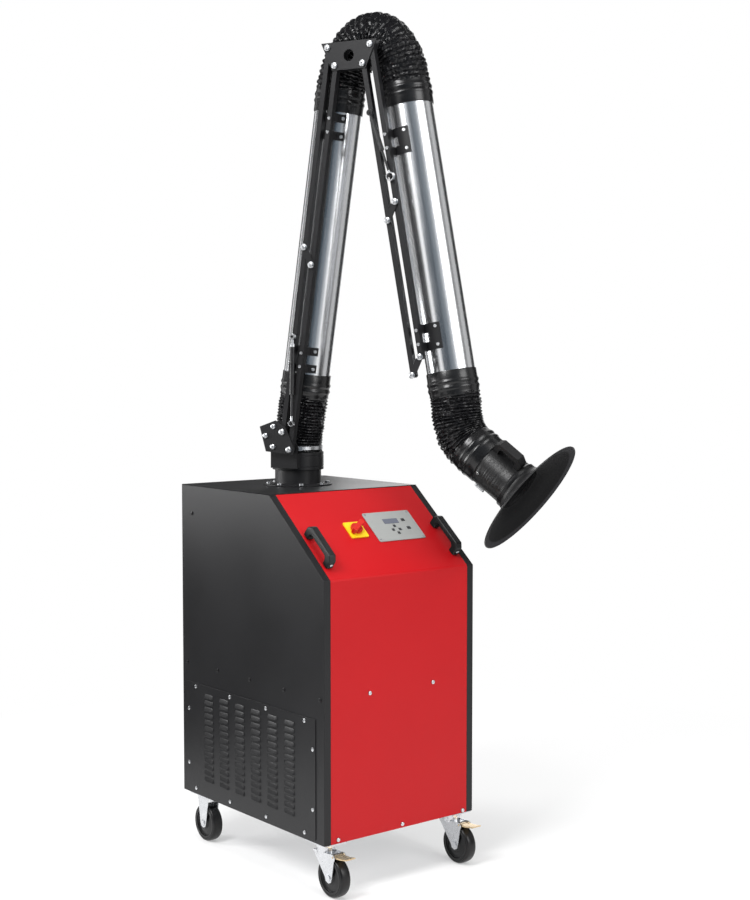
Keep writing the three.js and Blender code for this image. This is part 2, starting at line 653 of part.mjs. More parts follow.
for (const [name, side] of [["fl", -1], ["fr", 1]]) {
  const x = side * CASTOR_X;
  const castor = group(cabinet, `castor_${name}`, x, SWIVEL_Y, 0);
  const race = rod(RACE.radius, RACE_SPLIT, RACE_TOP + PAST, ROUND.shaft);
  piece(castor, `castor_plate_${name}`, join(plateBox(), race), ZINC);
  const swivel = group(castor, `castor_swivel_${name}`, 0, 0, 0);
  piece(swivel, `castor_fork_${name}`, swivelFork(), ZINC);
  const brake = group(swivel, `brake_${name}`, 0, -PEDAL.ahead, PEDAL.high);
  piece(brake, `brake_pedal_${name}`, brakePedal(), ZINC);
  const roll = group(swivel, `wheel_roll_${name}`, 0, -TRAIL, AXLE_Z);
  piece(roll, `wheel_${name}`, wheel(), RUBBER);
}

function fixedFork() {
  const cheek = new THREE.Shape();
  cheek.moveTo(CHEEK.top, RACE_TOP + PAST);
  cheek.lineTo(-CHEEK.top, RACE_TOP + PAST);
  cheek.lineTo(-CHEEK.foot, AXLE_Z);
  cheek.absarc(0, AXLE_Z, CHEEK.foot, Math.PI, 2 * Math.PI, false);
  return join(plateBox(), ...legs(cheek), ...axle(0));
}
for (const [name, side] of [["rl", -1], ["rr", 1]]) {
  const castor = group(cabinet, `castor_${name}`, side * CASTOR_X, REAR_AXLE_Y, 0);
  piece(castor, `castor_fork_${name}`, fixedFork(), ZINC);
  piece(group(castor, `wheel_roll_${name}`, 0, 0, AXLE_Z), `wheel_${name}`, wheel(), RUBBER);
}

// Arm base: a fixed flange with a spigot, and a collar that turns on it.
const BORE = DUCT - DUCT_WALL;
const FLANGE_Z = CABINET_TOP + FIT;
const COLLAR_FROM = CABINET_TOP + COLLAR.rise;
const COLLAR_TO = COLLAR_FROM + COLLAR.high;
const LOWER_PIVOT_Z = COLLAR_TO + LOWER_PIVOT_RISE;
const SPIGOT_TOP = COLLAR_TO - COLLAR.lip;
const armStand = group(cabinet, "arm_stand", 0, ARM_Y, 0);

function armFlange() {
  const profile = [
    [BORE, FLANGE_Z], [FLANGE.radius, FLANGE_Z], [FLANGE.radius, FLANGE_Z + FLANGE.thick],
    [DUCT, FLANGE_Z + FLANGE.thick], [DUCT, SPIGOT_TOP - FIT], [BORE, SPIGOT_TOP - FIT],
  ];
  return revolve(profile);
}
piece(armStand, "arm_flange", armFlange(), BLACK_PAINT);

// From here on the arm's frame: x towards the hood, the linkage on the -y side, tubes in y = 0.
const turntable = group(armStand, "arm_swivel", 0, 0, 0);
turntable.rotation.z = (HEADING - 90) * RAD;

const collarNeck = DUCT - COLLAR.neckStep;
const collarProfile = [
  [DUCT + COLLAR.slack, COLLAR_FROM], [COLLAR.radius, COLLAR_FROM], [COLLAR.radius, COLLAR_TO],
  [collarNeck, COLLAR_TO], [collarNeck, COLLAR_TO + COLLAR.neck], [BORE, COLLAR_TO + COLLAR.neck],
  [BORE, SPIGOT_TOP], [DUCT + COLLAR.slack, SPIGOT_TOP],
];
piece(turntable, "base_collar", revolve(collarProfile), BLACK_PAINT);

// Layers of the linkage, from the front plates back towards the tubes
const FRONT_0 = -MECH_FACE;
const FRONT_1 = FRONT_0 + PLATE;
const BAR_0 = FRONT_1 + FIT;
const BAR_1 = BAR_0 + BAR_DEEP;
const REAR_0 = BAR_1 + FIT;
const REAR_1 = REAR_0 + PLATE;

function bar(length, direction, pinHoles, studs) {
  const shape = stadium(0, 0, 0, direction * length, BAR_WIDE / 2);
  pierce(shape, ...pinHoles.map((at) => [0, direction * at, PIN + RUN]));
  const studEnd = BAR_0 - STUD.gap - SPRING.eyeDeep - STUD.out;
  const stud = (at) => rodAlongY(PIN, studEnd, BAR_0 + PAST, 0, direction * at);
  return join(slabAlongY(shape, BAR_0, BAR_1, ROUND.hole), ...studs.map(stud));
}

// A short plate in the front layer, with a pin into each of the two bars.
function link(shiftX, shiftZ) {
  const shape = stadium(0, 0, shiftX, shiftZ, LINK_WIDE / 2);
  const pin = (x, z) => rodAlongY(PIN, FRONT_1 - PAST, BAR_1 - LINK_PIN_SHORT, x, z);
  return join(slabAlongY(shape, FRONT_0, FRONT_1, ROUND.hole), pin(0, 0), pin(shiftX, shiftZ));
}

// A sheet saddle on the tube with a web to the bar, and a window between its two straps.
function tubeBracket(tubeX, at) {
  const { high, sheet, halfAngle, webRoot } = BRACKET;
  const { half, high: windowHigh, shift } = BRACKET_WINDOW;
  const [inner, outer] = [DUCT + FIT, DUCT + FIT + sheet];
  const facing = Math.atan2(-MECH_FACE, -tubeX);
  const saddle = new THREE.Shape();
  saddle.absarc(tubeX, 0, outer, facing - halfAngle * RAD, facing + halfAngle * RAD, false);
  saddle.absarc(tubeX, 0, inner, facing + halfAngle * RAD, facing - halfAngle * RAD, true);
  const onTube = -Math.sqrt(outer ** 2 - (Math.abs(tubeX) + BAR_WIDE / 2) ** 2);
  const web = box(-BAR_WIDE / 2, BAR_WIDE / 2, BAR_1 + FIT, onTube + webRoot, at - high / 2, at + high / 2);
  const bore = rod(inner, at - high, at + high, ROUND.duct).translate(tubeX, 0, 0);
  const slot = box(-half, half, -MECH_FACE, 0, at - windowHigh / 2, at + windowHigh / 2);
  const whole = join(slab(saddle, high, ROUND.hole).translate(0, 0, at - high / 2), web);
  const lean = slot.rotateZ(facing + Math.PI / 2).translate(tubeX * shift, 0, 0);
  return cut(whole, bore, lean);
}

// Base plates: the front one is a flat pentagon, the rear one carries the pins, spacers and a saddle foot.
const LOWER_PIVOT = [LOWER_PIVOT_X, LOWER_PIVOT_Z];
const PARALLEL_PIVOT = [LOWER_PIVOT_X - PIVOT_SHIFT, LOWER_PIVOT_Z + PIVOT_RISE];
const BASE_PLATE = [[-112, 75], [-52, 96], [-14, 74], [20, 2], [14, -15], [-89, -7]];
const BASE_BOLTS = [[-59, 76], [-96, 45], [-61, 9]];
const fromPivot = ([x, z]) => [LOWER_PIVOT_X + x, LOWER_PIVOT_Z + z];
const basePivots = [LOWER_PIVOT, PARALLEL_PIVOT];
const baseBolts = BASE_BOLTS.map(fromPivot);
const baseOutline = BASE_PLATE.map(fromPivot);
const baseHoles = [...basePivots, ...baseBolts].map(([x, z]) => [x, z, PIN + RUN]);
const platePin = ([x, z]) => rodAlongY(PIN, FRONT_0, REAR_0 + PAST, x, z);
const baseSpacer = ([x, z]) => rodAlongY(BASE_SPACER, FRONT_1 + FIT, REAR_0 + PAST, x, z);
const baseFront = slabAlongY(outline(baseOutline, baseHoles), FRONT_0, FRONT_1, ROUND.hole);
piece(turntable, "base_plate_front", baseFront, BLACK_PAINT);

function basePlateRear() {
  const { half, bottomGap, topGap, back, tongue: tongueRise } = BASE_FOOT;
  const low = COLLAR_FROM + bottomGap;
  const foot = box(-half, half, REAR_0, -back, low, COLLAR_TO - topGap);
  const tongue = box(-half, half, REAR_0, REAR_1, low, LOWER_PIVOT_Z + tongueRise);
  const whole = join(
    slabAlongY(outline(baseOutline), REAR_0, REAR_1),
    tongue, foot,
    ...[...basePivots, ...baseBolts].map(platePin),
    ...baseBolts.map(baseSpacer),
  );
  return cut(whole, rod(COLLAR.radius + FIT, COLLAR_FROM - PAST, COLLAR_TO + PAST, ROUND.duct));
}
piece(turntable, "base_plate_rear", basePlateRear(), BLACK_PAINT);

// Lower arm
const lowerArm = group(turntable, "lower_arm_tilt", LOWER_PIVOT_X, 0, LOWER_PIVOT_Z);
lowerArm.rotation.y = LOWER_LEAN * RAD;
const lowerParallel = group(turntable, "lower_parallel", PARALLEL_PIVOT[0], 0, PARALLEL_PIVOT[1]);
lowerParallel.rotation.y = LOWER_LEAN * RAD;
const lowerHoles = [0, LOWER_MID_LINK, LOWER_LENGTH];
piece(lowerArm, "lower_main_bar", bar(LOWER_LENGTH, 1, lowerHoles, [LOWER_SPRING.main]), BLACK_PAINT);
const lowerRail = bar(LOWER_LENGTH, 1, lowerHoles, [LOWER_SPRING.parallel]);
piece(lowerParallel, "lower_parallel_bar", lowerRail, BLACK_PAINT);
const lowerMid = group(lowerArm, "lower_mid_link", 0, 0, LOWER_MID_LINK);
lowerMid.rotation.y = -LOWER_LEAN * RAD;
piece(lowerMid, "lower_link", link(-PIVOT_SHIFT, PIVOT_RISE), BLACK_PAINT);

const LOWER_TUBE_TO = LOWER_TUBE_FROM + TUBE_LENGTH;
const lowerTube = ring(DUCT, BORE, LOWER_TUBE_FROM, LOWER_TUBE_TO, ROUND.duct);
piece(lowerArm, "lower_tube", lowerTube.translate(-LOWER_TUBE_OFFSET, 0, 0), POLISHED);
const lowerInset = CUFF.over + LOWER_BRACKET_GAP + BRACKET.high / 2;
for (const [name, at] of [["low", LOWER_TUBE_FROM + lowerInset], ["top", LOWER_TUBE_TO - lowerInset]]) {
  piece(lowerArm, `lower_bracket_${name}`, tubeBracket(-LOWER_TUBE_OFFSET, at), BLACK_PAINT);
}

// Elbow: two plates that hold all four bar ends. It stays level as the lower arm leans.
const elbow = group(lowerArm, "elbow_level", 0, 0, LOWER_LENGTH);
elbow.rotation.y = -LOWER_LEAN * RAD;
const ELBOW_PIVOTS = [
  [0, 0], [ELBOW_GAP, 0], [ELBOW_GAP + PIVOT_SHIFT, PIVOT_RISE], [-PIVOT_SHIFT, PIVOT_RISE],
];
const elbowOutline = inset(ELBOW_PIVOTS, -PLATE_MARGIN);
const elbowHoles = ELBOW_PIVOTS.map(([x, z]) => [x, z, PIN + RUN]);
const elbowFront = outline(elbowOutline, [...elbowHoles, [ELBOW_GAP / 2, PIVOT_RISE / 2, ELBOW_HOLE]]);
piece(elbow, "elbow_plate_front", slabAlongY(elbowFront, FRONT_0, FRONT_1, ROUND.hole), BLACK_PAINT);
const elbowRear = slabAlongY(
  outline(elbowOutline, [[ELBOW_GAP / 2, PIVOT_RISE / 2, ELBOW_HOLE]]), REAR_0, REAR_1, ROUND.hole,
);
piece(elbow, "elbow_plate_rear", join(elbowRear, ...ELBOW_PIVOTS.map(platePin)), BLACK_PAINT);

// Outer arm: bars and tube hang from the elbow, so lengths run along -z.
const outerArm = group(elbow, "outer_arm_tilt", ELBOW_GAP + PIVOT_SHIFT, 0, PIVOT_RISE);
outerArm.rotation.y = -OUTER_LEAN * RAD;
const outerParallel = group(elbow, "outer_parallel", ELBOW_GAP, 0, 0);
outerParallel.rotation.y = -OUTER_LEAN * RAD;
const outerHoles = [0, OUTER_MID_LINK, OUTER_LENGTH];
piece(outerArm, "outer_main_bar", bar(OUTER_LENGTH, -1, outerHoles, [OUTER_SPRING.main]), BLACK_PAINT);
const outerRail = bar(OUTER_LENGTH, -1, outerHoles, [OUTER_SPRING.parallel]);
piece(outerParallel, "outer_parallel_bar", outerRail, BLACK_PAINT);
for (const [name, at] of [["mid", OUTER_MID_LINK], ["end", OUTER_LENGTH]]) {
  const pivot = group(outerArm, `outer_${name}_link`, 0, 0, -at);
  pivot.rotation.y = OUTER_LEAN * RAD;
  piece(pivot, `outer_link_${name}`, link(-PIVOT_SHIFT, -PIVOT_RISE), BLACK_PAINT);
}
const OUTER_TUBE_TO = OUTER_TUBE_FROM + TUBE_LENGTH;
const BAR_END = BORE + DUCT_WALL / 2; // a hinge bar ends in the middle of the wall
function outerTube() {
  const tube = ring(DUCT, BORE, -OUTER_TUBE_TO, -OUTER_TUBE_FROM, ROUND.duct);
  return join(tube, rodAlongY(JOINT_BAR, -BAR_END, BAR_END, 0, TILT_DEPTH - OUTER_TUBE_TO));
}
const outerTubeMesh = piece(outerArm, "outer_tube", outerTube(), POLISHED);
outerTubeMesh.position.x = OUTER_TUBE_OFFSET;
const outerInset = CUFF.over + OUTER_BRACKET_GAP + BRACKET.high / 2;
for (const [name, at] of [["top", OUTER_TUBE_FROM + outerInset], ["low", OUTER_TUBE_TO - outerInset]]) {
  piece(outerArm, `outer_bracket_${name}`, tubeBracket(OUTER_TUBE_OFFSET, -at), BLACK_PAINT);
}

// Gas springs: the cylinder hangs on a stud of the parallel bar, its rod reaches a stud of the main bar.
const SPRING_Y = BAR_0 - STUD.gap - SPRING.eyeDeep / 2;
const EYE_HALF = SPRING.eyeDeep / 2;

function gasCylinder(length) {
  const whole = join(
    rodAlongY(SPRING.eye, -EYE_HALF, EYE_HALF, 0, 0, ROUND.shaft),
    rod(SPRING.rod, -SPRING.head, 0),
    rod(SPRING.radius, -length, -SPRING.head + PAST, ROUND.shaft),
  );
  return cut(
    whole,
    rodAlongY(PIN + RUN, -EYE_HALF - PAST, EYE_HALF + PAST, 0, 0),
    rod(SPRING.rod + RUN, -length - PAST, -SPRING.head - SPRING.blind),
  );
}

// The rod's eye is wider than its stud by a slack that takes up the play of the linkage.
function gasRod(reach, { rodFrom, slack }) {
  const hole = PIN + slack;
  const whole = join(
    rodAlongY(hole + SPRING.ringWall, -EYE_HALF, EYE_HALF, 0, -reach, ROUND.shaft),
    rod(SPRING.rod, -reach + hole + PAST, -rodFrom),
  );
  return cut(whole, rodAlongY(hole, -EYE_HALF - PAST, EYE_HALF + PAST, 0, -reach, ROUND.shaft));
}

// The spring hangs on a bar at a distance from its pivot and points from one stud to the other.
function gasSpring(name, carrier, lean, hungAt, from, to, spring) {
  const reach = Math.hypot(to[0] - from[0], to[1] - from[1]);
  const hang = Math.atan2(from[0] - to[0], from[1] - to[1]);
  const swing = group(carrier, `${name}_gas_swing`, 0, SPRING_Y, hungAt);
  swing.rotation.y = hang - lean * RAD;
  piece(swing, `${name}_gas_cylinder`, gasCylinder(spring.cylinder), MOULDED);
  const slide = group(swing, `${name}_gas_slide`, 0, 0, 0);
  piece(slide, `${name}_gas_rod`, gasRod(reach, spring), POLISHED);
}
const along = ([x, z], lean, at) => [x + at * Math.sin(lean * RAD), z + at * Math.cos(lean * RAD)];
gasSpring(
  "lower", lowerParallel, LOWER_LEAN, LOWER_SPRING.parallel,
  along(PARALLEL_PIVOT, LOWER_LEAN, LOWER_SPRING.parallel), along(LOWER_PIVOT, LOWER_LEAN, LOWER_SPRING.main),
  LOWER_SPRING,
);
gasSpring(
  "outer", outerParallel, -OUTER_LEAN, -OUTER_SPRING.parallel,
  along([ELBOW_GAP, 0], -OUTER_LEAN, -OUTER_SPRING.parallel),
  along([ELBOW_GAP + PIVOT_SHIFT, PIVOT_RISE], -OUTER_LEAN, -OUTER_SPRING.main),
  OUTER_SPRING,
);

// Paths in the arm's plane, as points of x and z
const heading = (lean) => [Math.sin(lean * RAD), Math.cos(lean * RAD)];
const step = ([x, z], [dx, dz], distance) => [x + dx * distance, z + dz * distance];
const lowerAxis = (at) => {
  const lean = LOWER_LEAN * RAD;
  const [x, z] = along(LOWER_PIVOT, LOWER_LEAN, at);
  return [x - LOWER_TUBE_OFFSET * Math.cos(lean), z + LOWER_TUBE_OFFSET * Math.sin(lean)];
};
const elbowPoint = along(LOWER_PIVOT, LOWER_LEAN, LOWER_LENGTH);
const outerPivot = [elbowPoint[0] + ELBOW_GAP + PIVOT_SHIFT, elbowPoint[1] + PIVOT_RISE];
const outerAxis = (at) => {
  const lean = OUTER_LEAN * RAD;
  const [x, z] = along(outerPivot, -OUTER_LEAN, -at);
  return [x + OUTER_TUBE_OFFSET * Math.cos(lean), z + OUTER_TUBE_OFFSET * Math.sin(lean)];
};

// A path that leaves a point along one direction and arrives at another, with one round bend between.
function bentPath(from, out, to, into, radius) {
  const cross = out[0] * into[1] - out[1] * into[0];
  const turn = Math.atan2(cross, out[0] * into[0] + out[1] * into[1]);
  const gap = [to[0] - from[0], to[1] - from[1]];
  const toCorner = (gap[0] * into[1] - gap[1] * into[0]) / cross;
  const fromCorner = (out[0] * gap[1] - out[1] * gap[0]) / cross;
  const tangent = radius * Math.tan(Math.abs(turn) / 2);
  const [first, last] = [toCorner - tangent, fromCorner - tangent];
  const arc = radius * Math.abs(turn);
  const side = Math.sign(turn);
  const entry = step(from, out, first);
  const centre = [entry[0] - side * radius * out[1], entry[1] + side * radius * out[0]];
  const at = (s) => {
    if (s <= first) return { point: step(from, out, s), tangent: out };
    if (s >= first + arc) return { point: step(to, into, s - first - arc - last), tangent: into };
    const angle = (side * (s - first)) / radius;
    const [c, sn] = [Math.cos(angle), Math.sin(angle)];
    const tangentNow = [out[0] * c - out[1] * sn, out[0] * sn + out[1] * c];
    const point = [centre[0] + side * radius * tangentNow[1], centre[1] - side * radius * tangentNow[0]];
    return { point, tangent: tangentNow };
  };
  return { length: first + arc + last, at };
}

// A path with straight ends that eases sideways between two lines that are nearly in line.
function easedPath(from, out, to, into, startRun, endRun) {
  const a = step(from, out, startRun);
  const b = step(to, into, -endRun);
  const reach = Math.hypot(b[0] - a[0], b[1] - a[1]);
  const handles = [a, step(a, out, reach / 3), step(b, into, -reach / 3), b];
  const curve = new THREE.CubicBezierCurve(...handles.map(([x, z]) => new THREE.Vector2(x, z)));
  const middle = curve.getLength();
  const at = (s) => {
    if (s <= startRun) return { point: step(from, out, s), tangent: out };
    if (s >= startRun + middle) return { point: step(b, into, s - startRun - middle), tangent: into };
    const u = (s - startRun) / middle;
    return { point: curve.getPointAt(u).toArray(), tangent: curve.getTangentAt(u).toArray() };
  };
  return { length: startRun + middle + endRun, at };
}

// A half-turn path for the elbow: straight out of each tube, then one arc between.
function elbowPath(from, out, to, into, straight) {
  const a = step(from, out, straight);
  const b = step(to, into, -straight);
  const turn = Math.acos(out[0] * into[0] + out[1] * into[1]);
  const radius = Math.hypot(b[0] - a[0], b[1] - a[1]) / (2 * Math.sin(turn / 2));
  const arc = radius * turn;
  const centre = [a[0] + radius * out[1], a[1] - radius * out[0]];
  const at = (s) => {
    if (s <= straight) return { point: step(from, out, s), tangent: out };
    if (s >= straight + arc) return { point: step(to, into, s - 2 * straight - arc), tangent: into };
    const angle = (s - straight) / radius;
    const [c, sn] = [Math.cos(angle), Math.sin(angle)];
    const tangentNow = [out[0] * c + out[1] * sn, -out[0] * sn + out[1] * c];
    return { point: step(centre, [-tangentNow[1], tangentNow[0]], radius), tangent: tangentNow };
  };
  return { length: 2 * straight + arc, at };
}

// Rings of a cuff from its open edge inwards: a plain band, then two rolled beads.
function cuffRings(length) {
  const { radius, bead, roll } = CUFF;
  const half = length / 2;
  return [
    [0, radius], [half - roll, radius], [half, bead],
    [half + roll, radius], [half + 2 * roll, bead], [half + 3 * roll, radius],
  ];
}

// A ribbed hose: rings of cuffs and ribs outside, a plain bore inside, along a path in the arm's plane.
function ribbedHose(path, startCuff, endCuff) {
  const last = path.length;
  const rings = startCuff ? cuffRings(startCuff.length) : [[0, CUFF.radius], [CUFF.plain, CUFF.radius]];
  const ribFrom = rings.at(-1)[0] + HOSE.lead;
  const tail = cuffRings(endCuff.length);
  const ribTo = last - tail.at(-1)[0] - HOSE.lead;
  const ribs = Math.round((ribTo - ribFrom) / HOSE.pitch);
  const pitch = (ribTo - ribFrom) / ribs;
  for (let i = 0; i < ribs; i += 1) {
    rings.push([ribFrom + i * pitch, HOSE.valley], [ribFrom + (i + 0.5) * pitch, HOSE.crest]);
  }
  rings.push([ribTo, HOSE.valley], ...tail.reverse().map(([s, r]) => [last - s, r]));
  const wide = DUCT + FIT;
  const startOver = startCuff ? startCuff.over : COLLAR.neck;
  const boreEnd = last - endCuff.over;
  const bore = [[0, wide], [startOver + FIT, wide], [startOver + HOSE_BORE.ease, HOSE_BORE.radius]];
  const boreStep = HOSE_BORE.every * pitch;
  for (let s = startOver + boreStep; s < boreEnd - boreStep / 2; s += boreStep) {
    bore.push([s, HOSE_BORE.radius]);
  }
  bore.push([boreEnd - HOSE_BORE.ease, HOSE_BORE.radius], [boreEnd - FIT, wide], [last, wide]);
  return loft(path, rings, bore);
}

function loft(path, outerRings, boreRings) {
  const { sides } = HOSE;
  const positions = [];
  const index = [];
  const addRing = ([s, radius]) => {
    const { point, tangent } = path.at(s);
    const corner = radius / Math.cos(Math.PI / sides);
    for (let k = 0; k < sides; k += 1) {
      const angle = (2 * Math.PI * k) / sides;
      const across = corner * Math.cos(angle);
      const [x, z] = step(point, [-tangent[1], tangent[0]], across);
      positions.push(x, corner * Math.sin(angle), z);
    }
    return positions.length / 3 - sides;
  };
  const bridge = (a, b) => {
    for (let k = 0; k < sides; k += 1) {
      const next = (k + 1) % sides;
      index.push(a + k, b + k, a + next, b + k, b + next, a + next);
    }
  };
  const outer = outerRings.map(addRing);
  const bore = boreRings.map(addRing);
  const loop = [...outer, ...bore.reverse(), outer[0]];
  loop.slice(1).forEach((ringStart, i) => bridge(loop[i], ringStart));
  const geometry = new THREE.BufferGeometry();
  geometry.setAttribute("position", new THREE.Float32BufferAttribute(positions, 3));
  geometry.setIndex(index);
  return geometry;
}

const fullCuff = { length: CUFF.length, over: CUFF.over };
const upright = [0, 1];
const lowerWay = heading(LOWER_LEAN);
const outerWay = step([0, 0], heading(-OUTER_LEAN), -1);
const hoodWay = step([0, 0], heading(-HOOD_ANGLE), -1);
const basePath = easedPath(
  [0, COLLAR_TO + FIT], upright, lowerAxis(LOWER_TUBE_FROM + CUFF.over), lowerWay,
  COLLAR.neck + HOSE.runOn, CUFF.over + HOSE.runOn,
);
piece(turntable, "base_hose", ribbedHose(basePath, null, fullCuff), HOSE_BLACK);
const elbowRun = elbowPath(
  lowerAxis(LOWER_TUBE_TO - CUFF.over), lowerWay, outerAxis(OUTER_TUBE_FROM + CUFF.over), outerWay,
  ELBOW_STRAIGHT + CUFF.over,
);
piece(turntable, "elbow_hose", ribbedHose(elbowRun, fullCuff, fullCuff), HOSE_BLACK);

const tubeEnd = outerAxis(OUTER_TUBE_TO);
const hoodCorner = step(tubeEnd, outerWay, HOOD_DROP);
const hoodCuffEnd = step(hoodCorner, hoodWay, HOOD_CUFF_FROM + CUFF.length);
const hoodPath = bentPath(outerAxis(OUTER_TUBE_TO - CUFF.over), outerWay, hoodCuffEnd, hoodWay, HOOD_BEND);
const hoodCuff = { length: CUFF.length - HOOD_CUFF_SHORT, over: HOOD_CUFF_FROM + CUFF.length - NECK_FROM };
piece(turntable, "hood_hose", ribbedHose(hoodPath, fullCuff, hoodCuff), HOSE_BLACK);

// Hood joint: a link inside the hose, hinged on a bar in the tube and on a crossed bar in the hood neck.
const swingPoint = step(hoodCorner, hoodWay, NECK_FROM + SWING_DEPTH);
const tiltPoint = outerAxis(OUTER_TUBE_TO - TILT_DEPTH);
const LINK_LENGTH = Math.hypot(swingPoint[0] - tiltPoint[0], swingPoint[1] - tiltPoint[1]);
const LINK_LEAN = Math.atan2(swingPoint[0] - tiltPoint[0], tiltPoint[1] - swingPoint[1]);
const hoodJoint = group(outerArm, "hood_tilt", OUTER_TUBE_OFFSET, 0, TILT_DEPTH - OUTER_TUBE_TO);
hoodJoint.rotation.y = OUTER_LEAN * RAD - LINK_LEAN;
const hood = group(hoodJoint, "hood_swing", 0, 0, -LINK_LENGTH);
hood.rotation.y = LINK_LEAN - HOOD_ANGLE * RAD;
const CROSS_TURN = hood.rotation.y;

function hoodLink() {
  const tilt = (radius, half, sides) => rodAlongY(radius, -half, half, 0, 0, sides);
  const swing = (radius, half, sides) => {
    const bar = rodAlongX(radius, -half, half, 0, 0, sides);
    return bar.rotateY(CROSS_TURN).translate(0, 0, -LINK_LENGTH);
  };
  return cut(
    join(
      tilt(JOINT_EYE, JOINT_EYE, ROUND.shaft),
      swing(JOINT_EYE, JOINT_EYE, ROUND.shaft),
      rod(JOINT_ROD, -LINK_LENGTH, 0),
    ),
    tilt(JOINT_BAR + RUN, 2 * JOINT_EYE, ROUND.pin),
    swing(JOINT_BAR + RUN, 2 * JOINT_EYE, ROUND.pin),
  );
}
piece(hoodJoint, "hood_joint", hoodLink(), ZINC);

// Hood: in its own frame the air comes in at the top and the mouth faces -z.
const toHood = (at) => NECK_FROM + SWING_DEPTH - at;
const CUFF_END = HOOD_CUFF_FROM + CUFF.length;
const DAMPER_AT = CUFF_END + DAMPER.gap;
const HANDLE_FROM = CUFF_END + HANDLE.gap;
function hoodNeck() {
  const [top, bottom, stepTop] = [toHood(NECK_FROM), toHood(NECK_TO), toHood(NECK_STEP.from)];
  const profile = [
    [BORE, top], [DUCT, top], [DUCT, stepTop], [NECK_STEP.radius, stepTop - NECK_STEP.chamfer],
    [NECK_STEP.radius, bottom], [BORE, bottom],
  ];
  const crossBar = rodAlongX(JOINT_BAR, -BAR_END, BAR_END, 0, 0);
  const shaftHole = rodAlongX(DAMPER.shaft + RUN, -2 * DUCT, 2 * DUCT, 0, toHood(DAMPER_AT));
  return cut(join(revolve(profile), crossBar), shaftHole);
}
piece(hood, "hood_neck", hoodNeck(), MOULDED);

function hoodBell() {
  const top = toHood(NECK_TO) - FIT;
  const { radius, depth, wall, root, edge, rootDeep } = BELL;
  const bottom = top - depth;
  const [throat, knee] = [top - BELL_THROAT[1], top - BELL_KNEE[1]];
  const lip = bottom + BELL_LIP[1];
  const profile = [
    [BORE, top], [root, top], [root + BELL_THROAT[0], throat], [root + BELL_KNEE[0], knee],
    [radius - BELL_LIP[0], lip], [radius, bottom + edge], [radius, bottom], [radius - edge, bottom],
    [radius - BELL_LIP[0] - BELL_INNER_SHIFT, lip - wall],
    [root + BELL_KNEE[0] - BELL_INNER_SHIFT, knee - wall],
    [root + BELL_INNER_THROAT, throat - wall], [BORE, top - rootDeep],
  ];
  return revolve(profile, ROUND.hood);
}
piece(hood, "hood_bell", hoodBell(), MOULDED);

function hoodHandle() {
  const { high, thick, chamfer, foot, wide, turn } = HANDLE;
  const [low, top] = [toHood(HANDLE.to), toHood(HANDLE_FROM)];
  const profile = bow(low, top, DUCT + high, thick, chamfer, foot, DUCT / 2);
  const standing = slabAlongY(outline(profile.map(([z, x]) => [x, z])), -wide / 2, wide / 2);
  const inside = rod(DUCT + FIT, low - PAST, top + PAST, ROUND.duct);
  const [stepLow, stepTop] = [toHood(NECK_TO) - PAST, toHood(NECK_STEP.from) + FIT];
  const stepRing = rod(NECK_STEP.radius + FIT, stepLow, stepTop, ROUND.duct);
  return cut(solid(standing), inside.rotateZ(turn * RAD), stepRing.rotateZ(turn * RAD));
}
const handleMesh = piece(hood, "hood_handle", hoodHandle(), MOULDED);
handleMesh.rotation.z = -HANDLE.turn * RAD;

// Damper: a disc on a shaft across the neck, stored open, with a lever outside.
const damperPivot = group(hood, "damper_turn", 0, 0, toHood(DAMPER_AT));
function damper() {
  const { radius, thick, shaft } = DAMPER;
  const leverFace = -DUCT - LEVER.out;
  const leverShape = stadium(0, 0, 0, -LEVER.length, LEVER.wide / 2);
  return join(
    rodAlongY(radius, -thick / 2, thick / 2, 0, 0, ROUND.body),
    rodAlongX(shaft, leverFace - LEVER.thick, BORE, 0, 0),
    slabAlongX(leverShape, leverFace - LEVER.thick, leverFace, ROUND.hole),
  );
}
piece(damperPivot, "damper", damper(), ZINC);

// The origin is on the floor, under the middle of the whole object.
part.updateMatrixWorld(true);
const bounds = new THREE.Box3().setFromObject(part, true);
const middle = bounds.getCenter(new THREE.Vector3());
cabinet.position.set(-middle.x, -middle.y, -bounds.min.z);

export default part;
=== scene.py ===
"""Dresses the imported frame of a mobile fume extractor: finishes, hoses, hood, fasteners and stage."""
import json
import math

import bpy
from bpy.props import FloatProperty, FloatVectorProperty, IntProperty, PointerProperty
from mathutils import Matrix, Vector
from mathutils.bvhtree import BVHTree

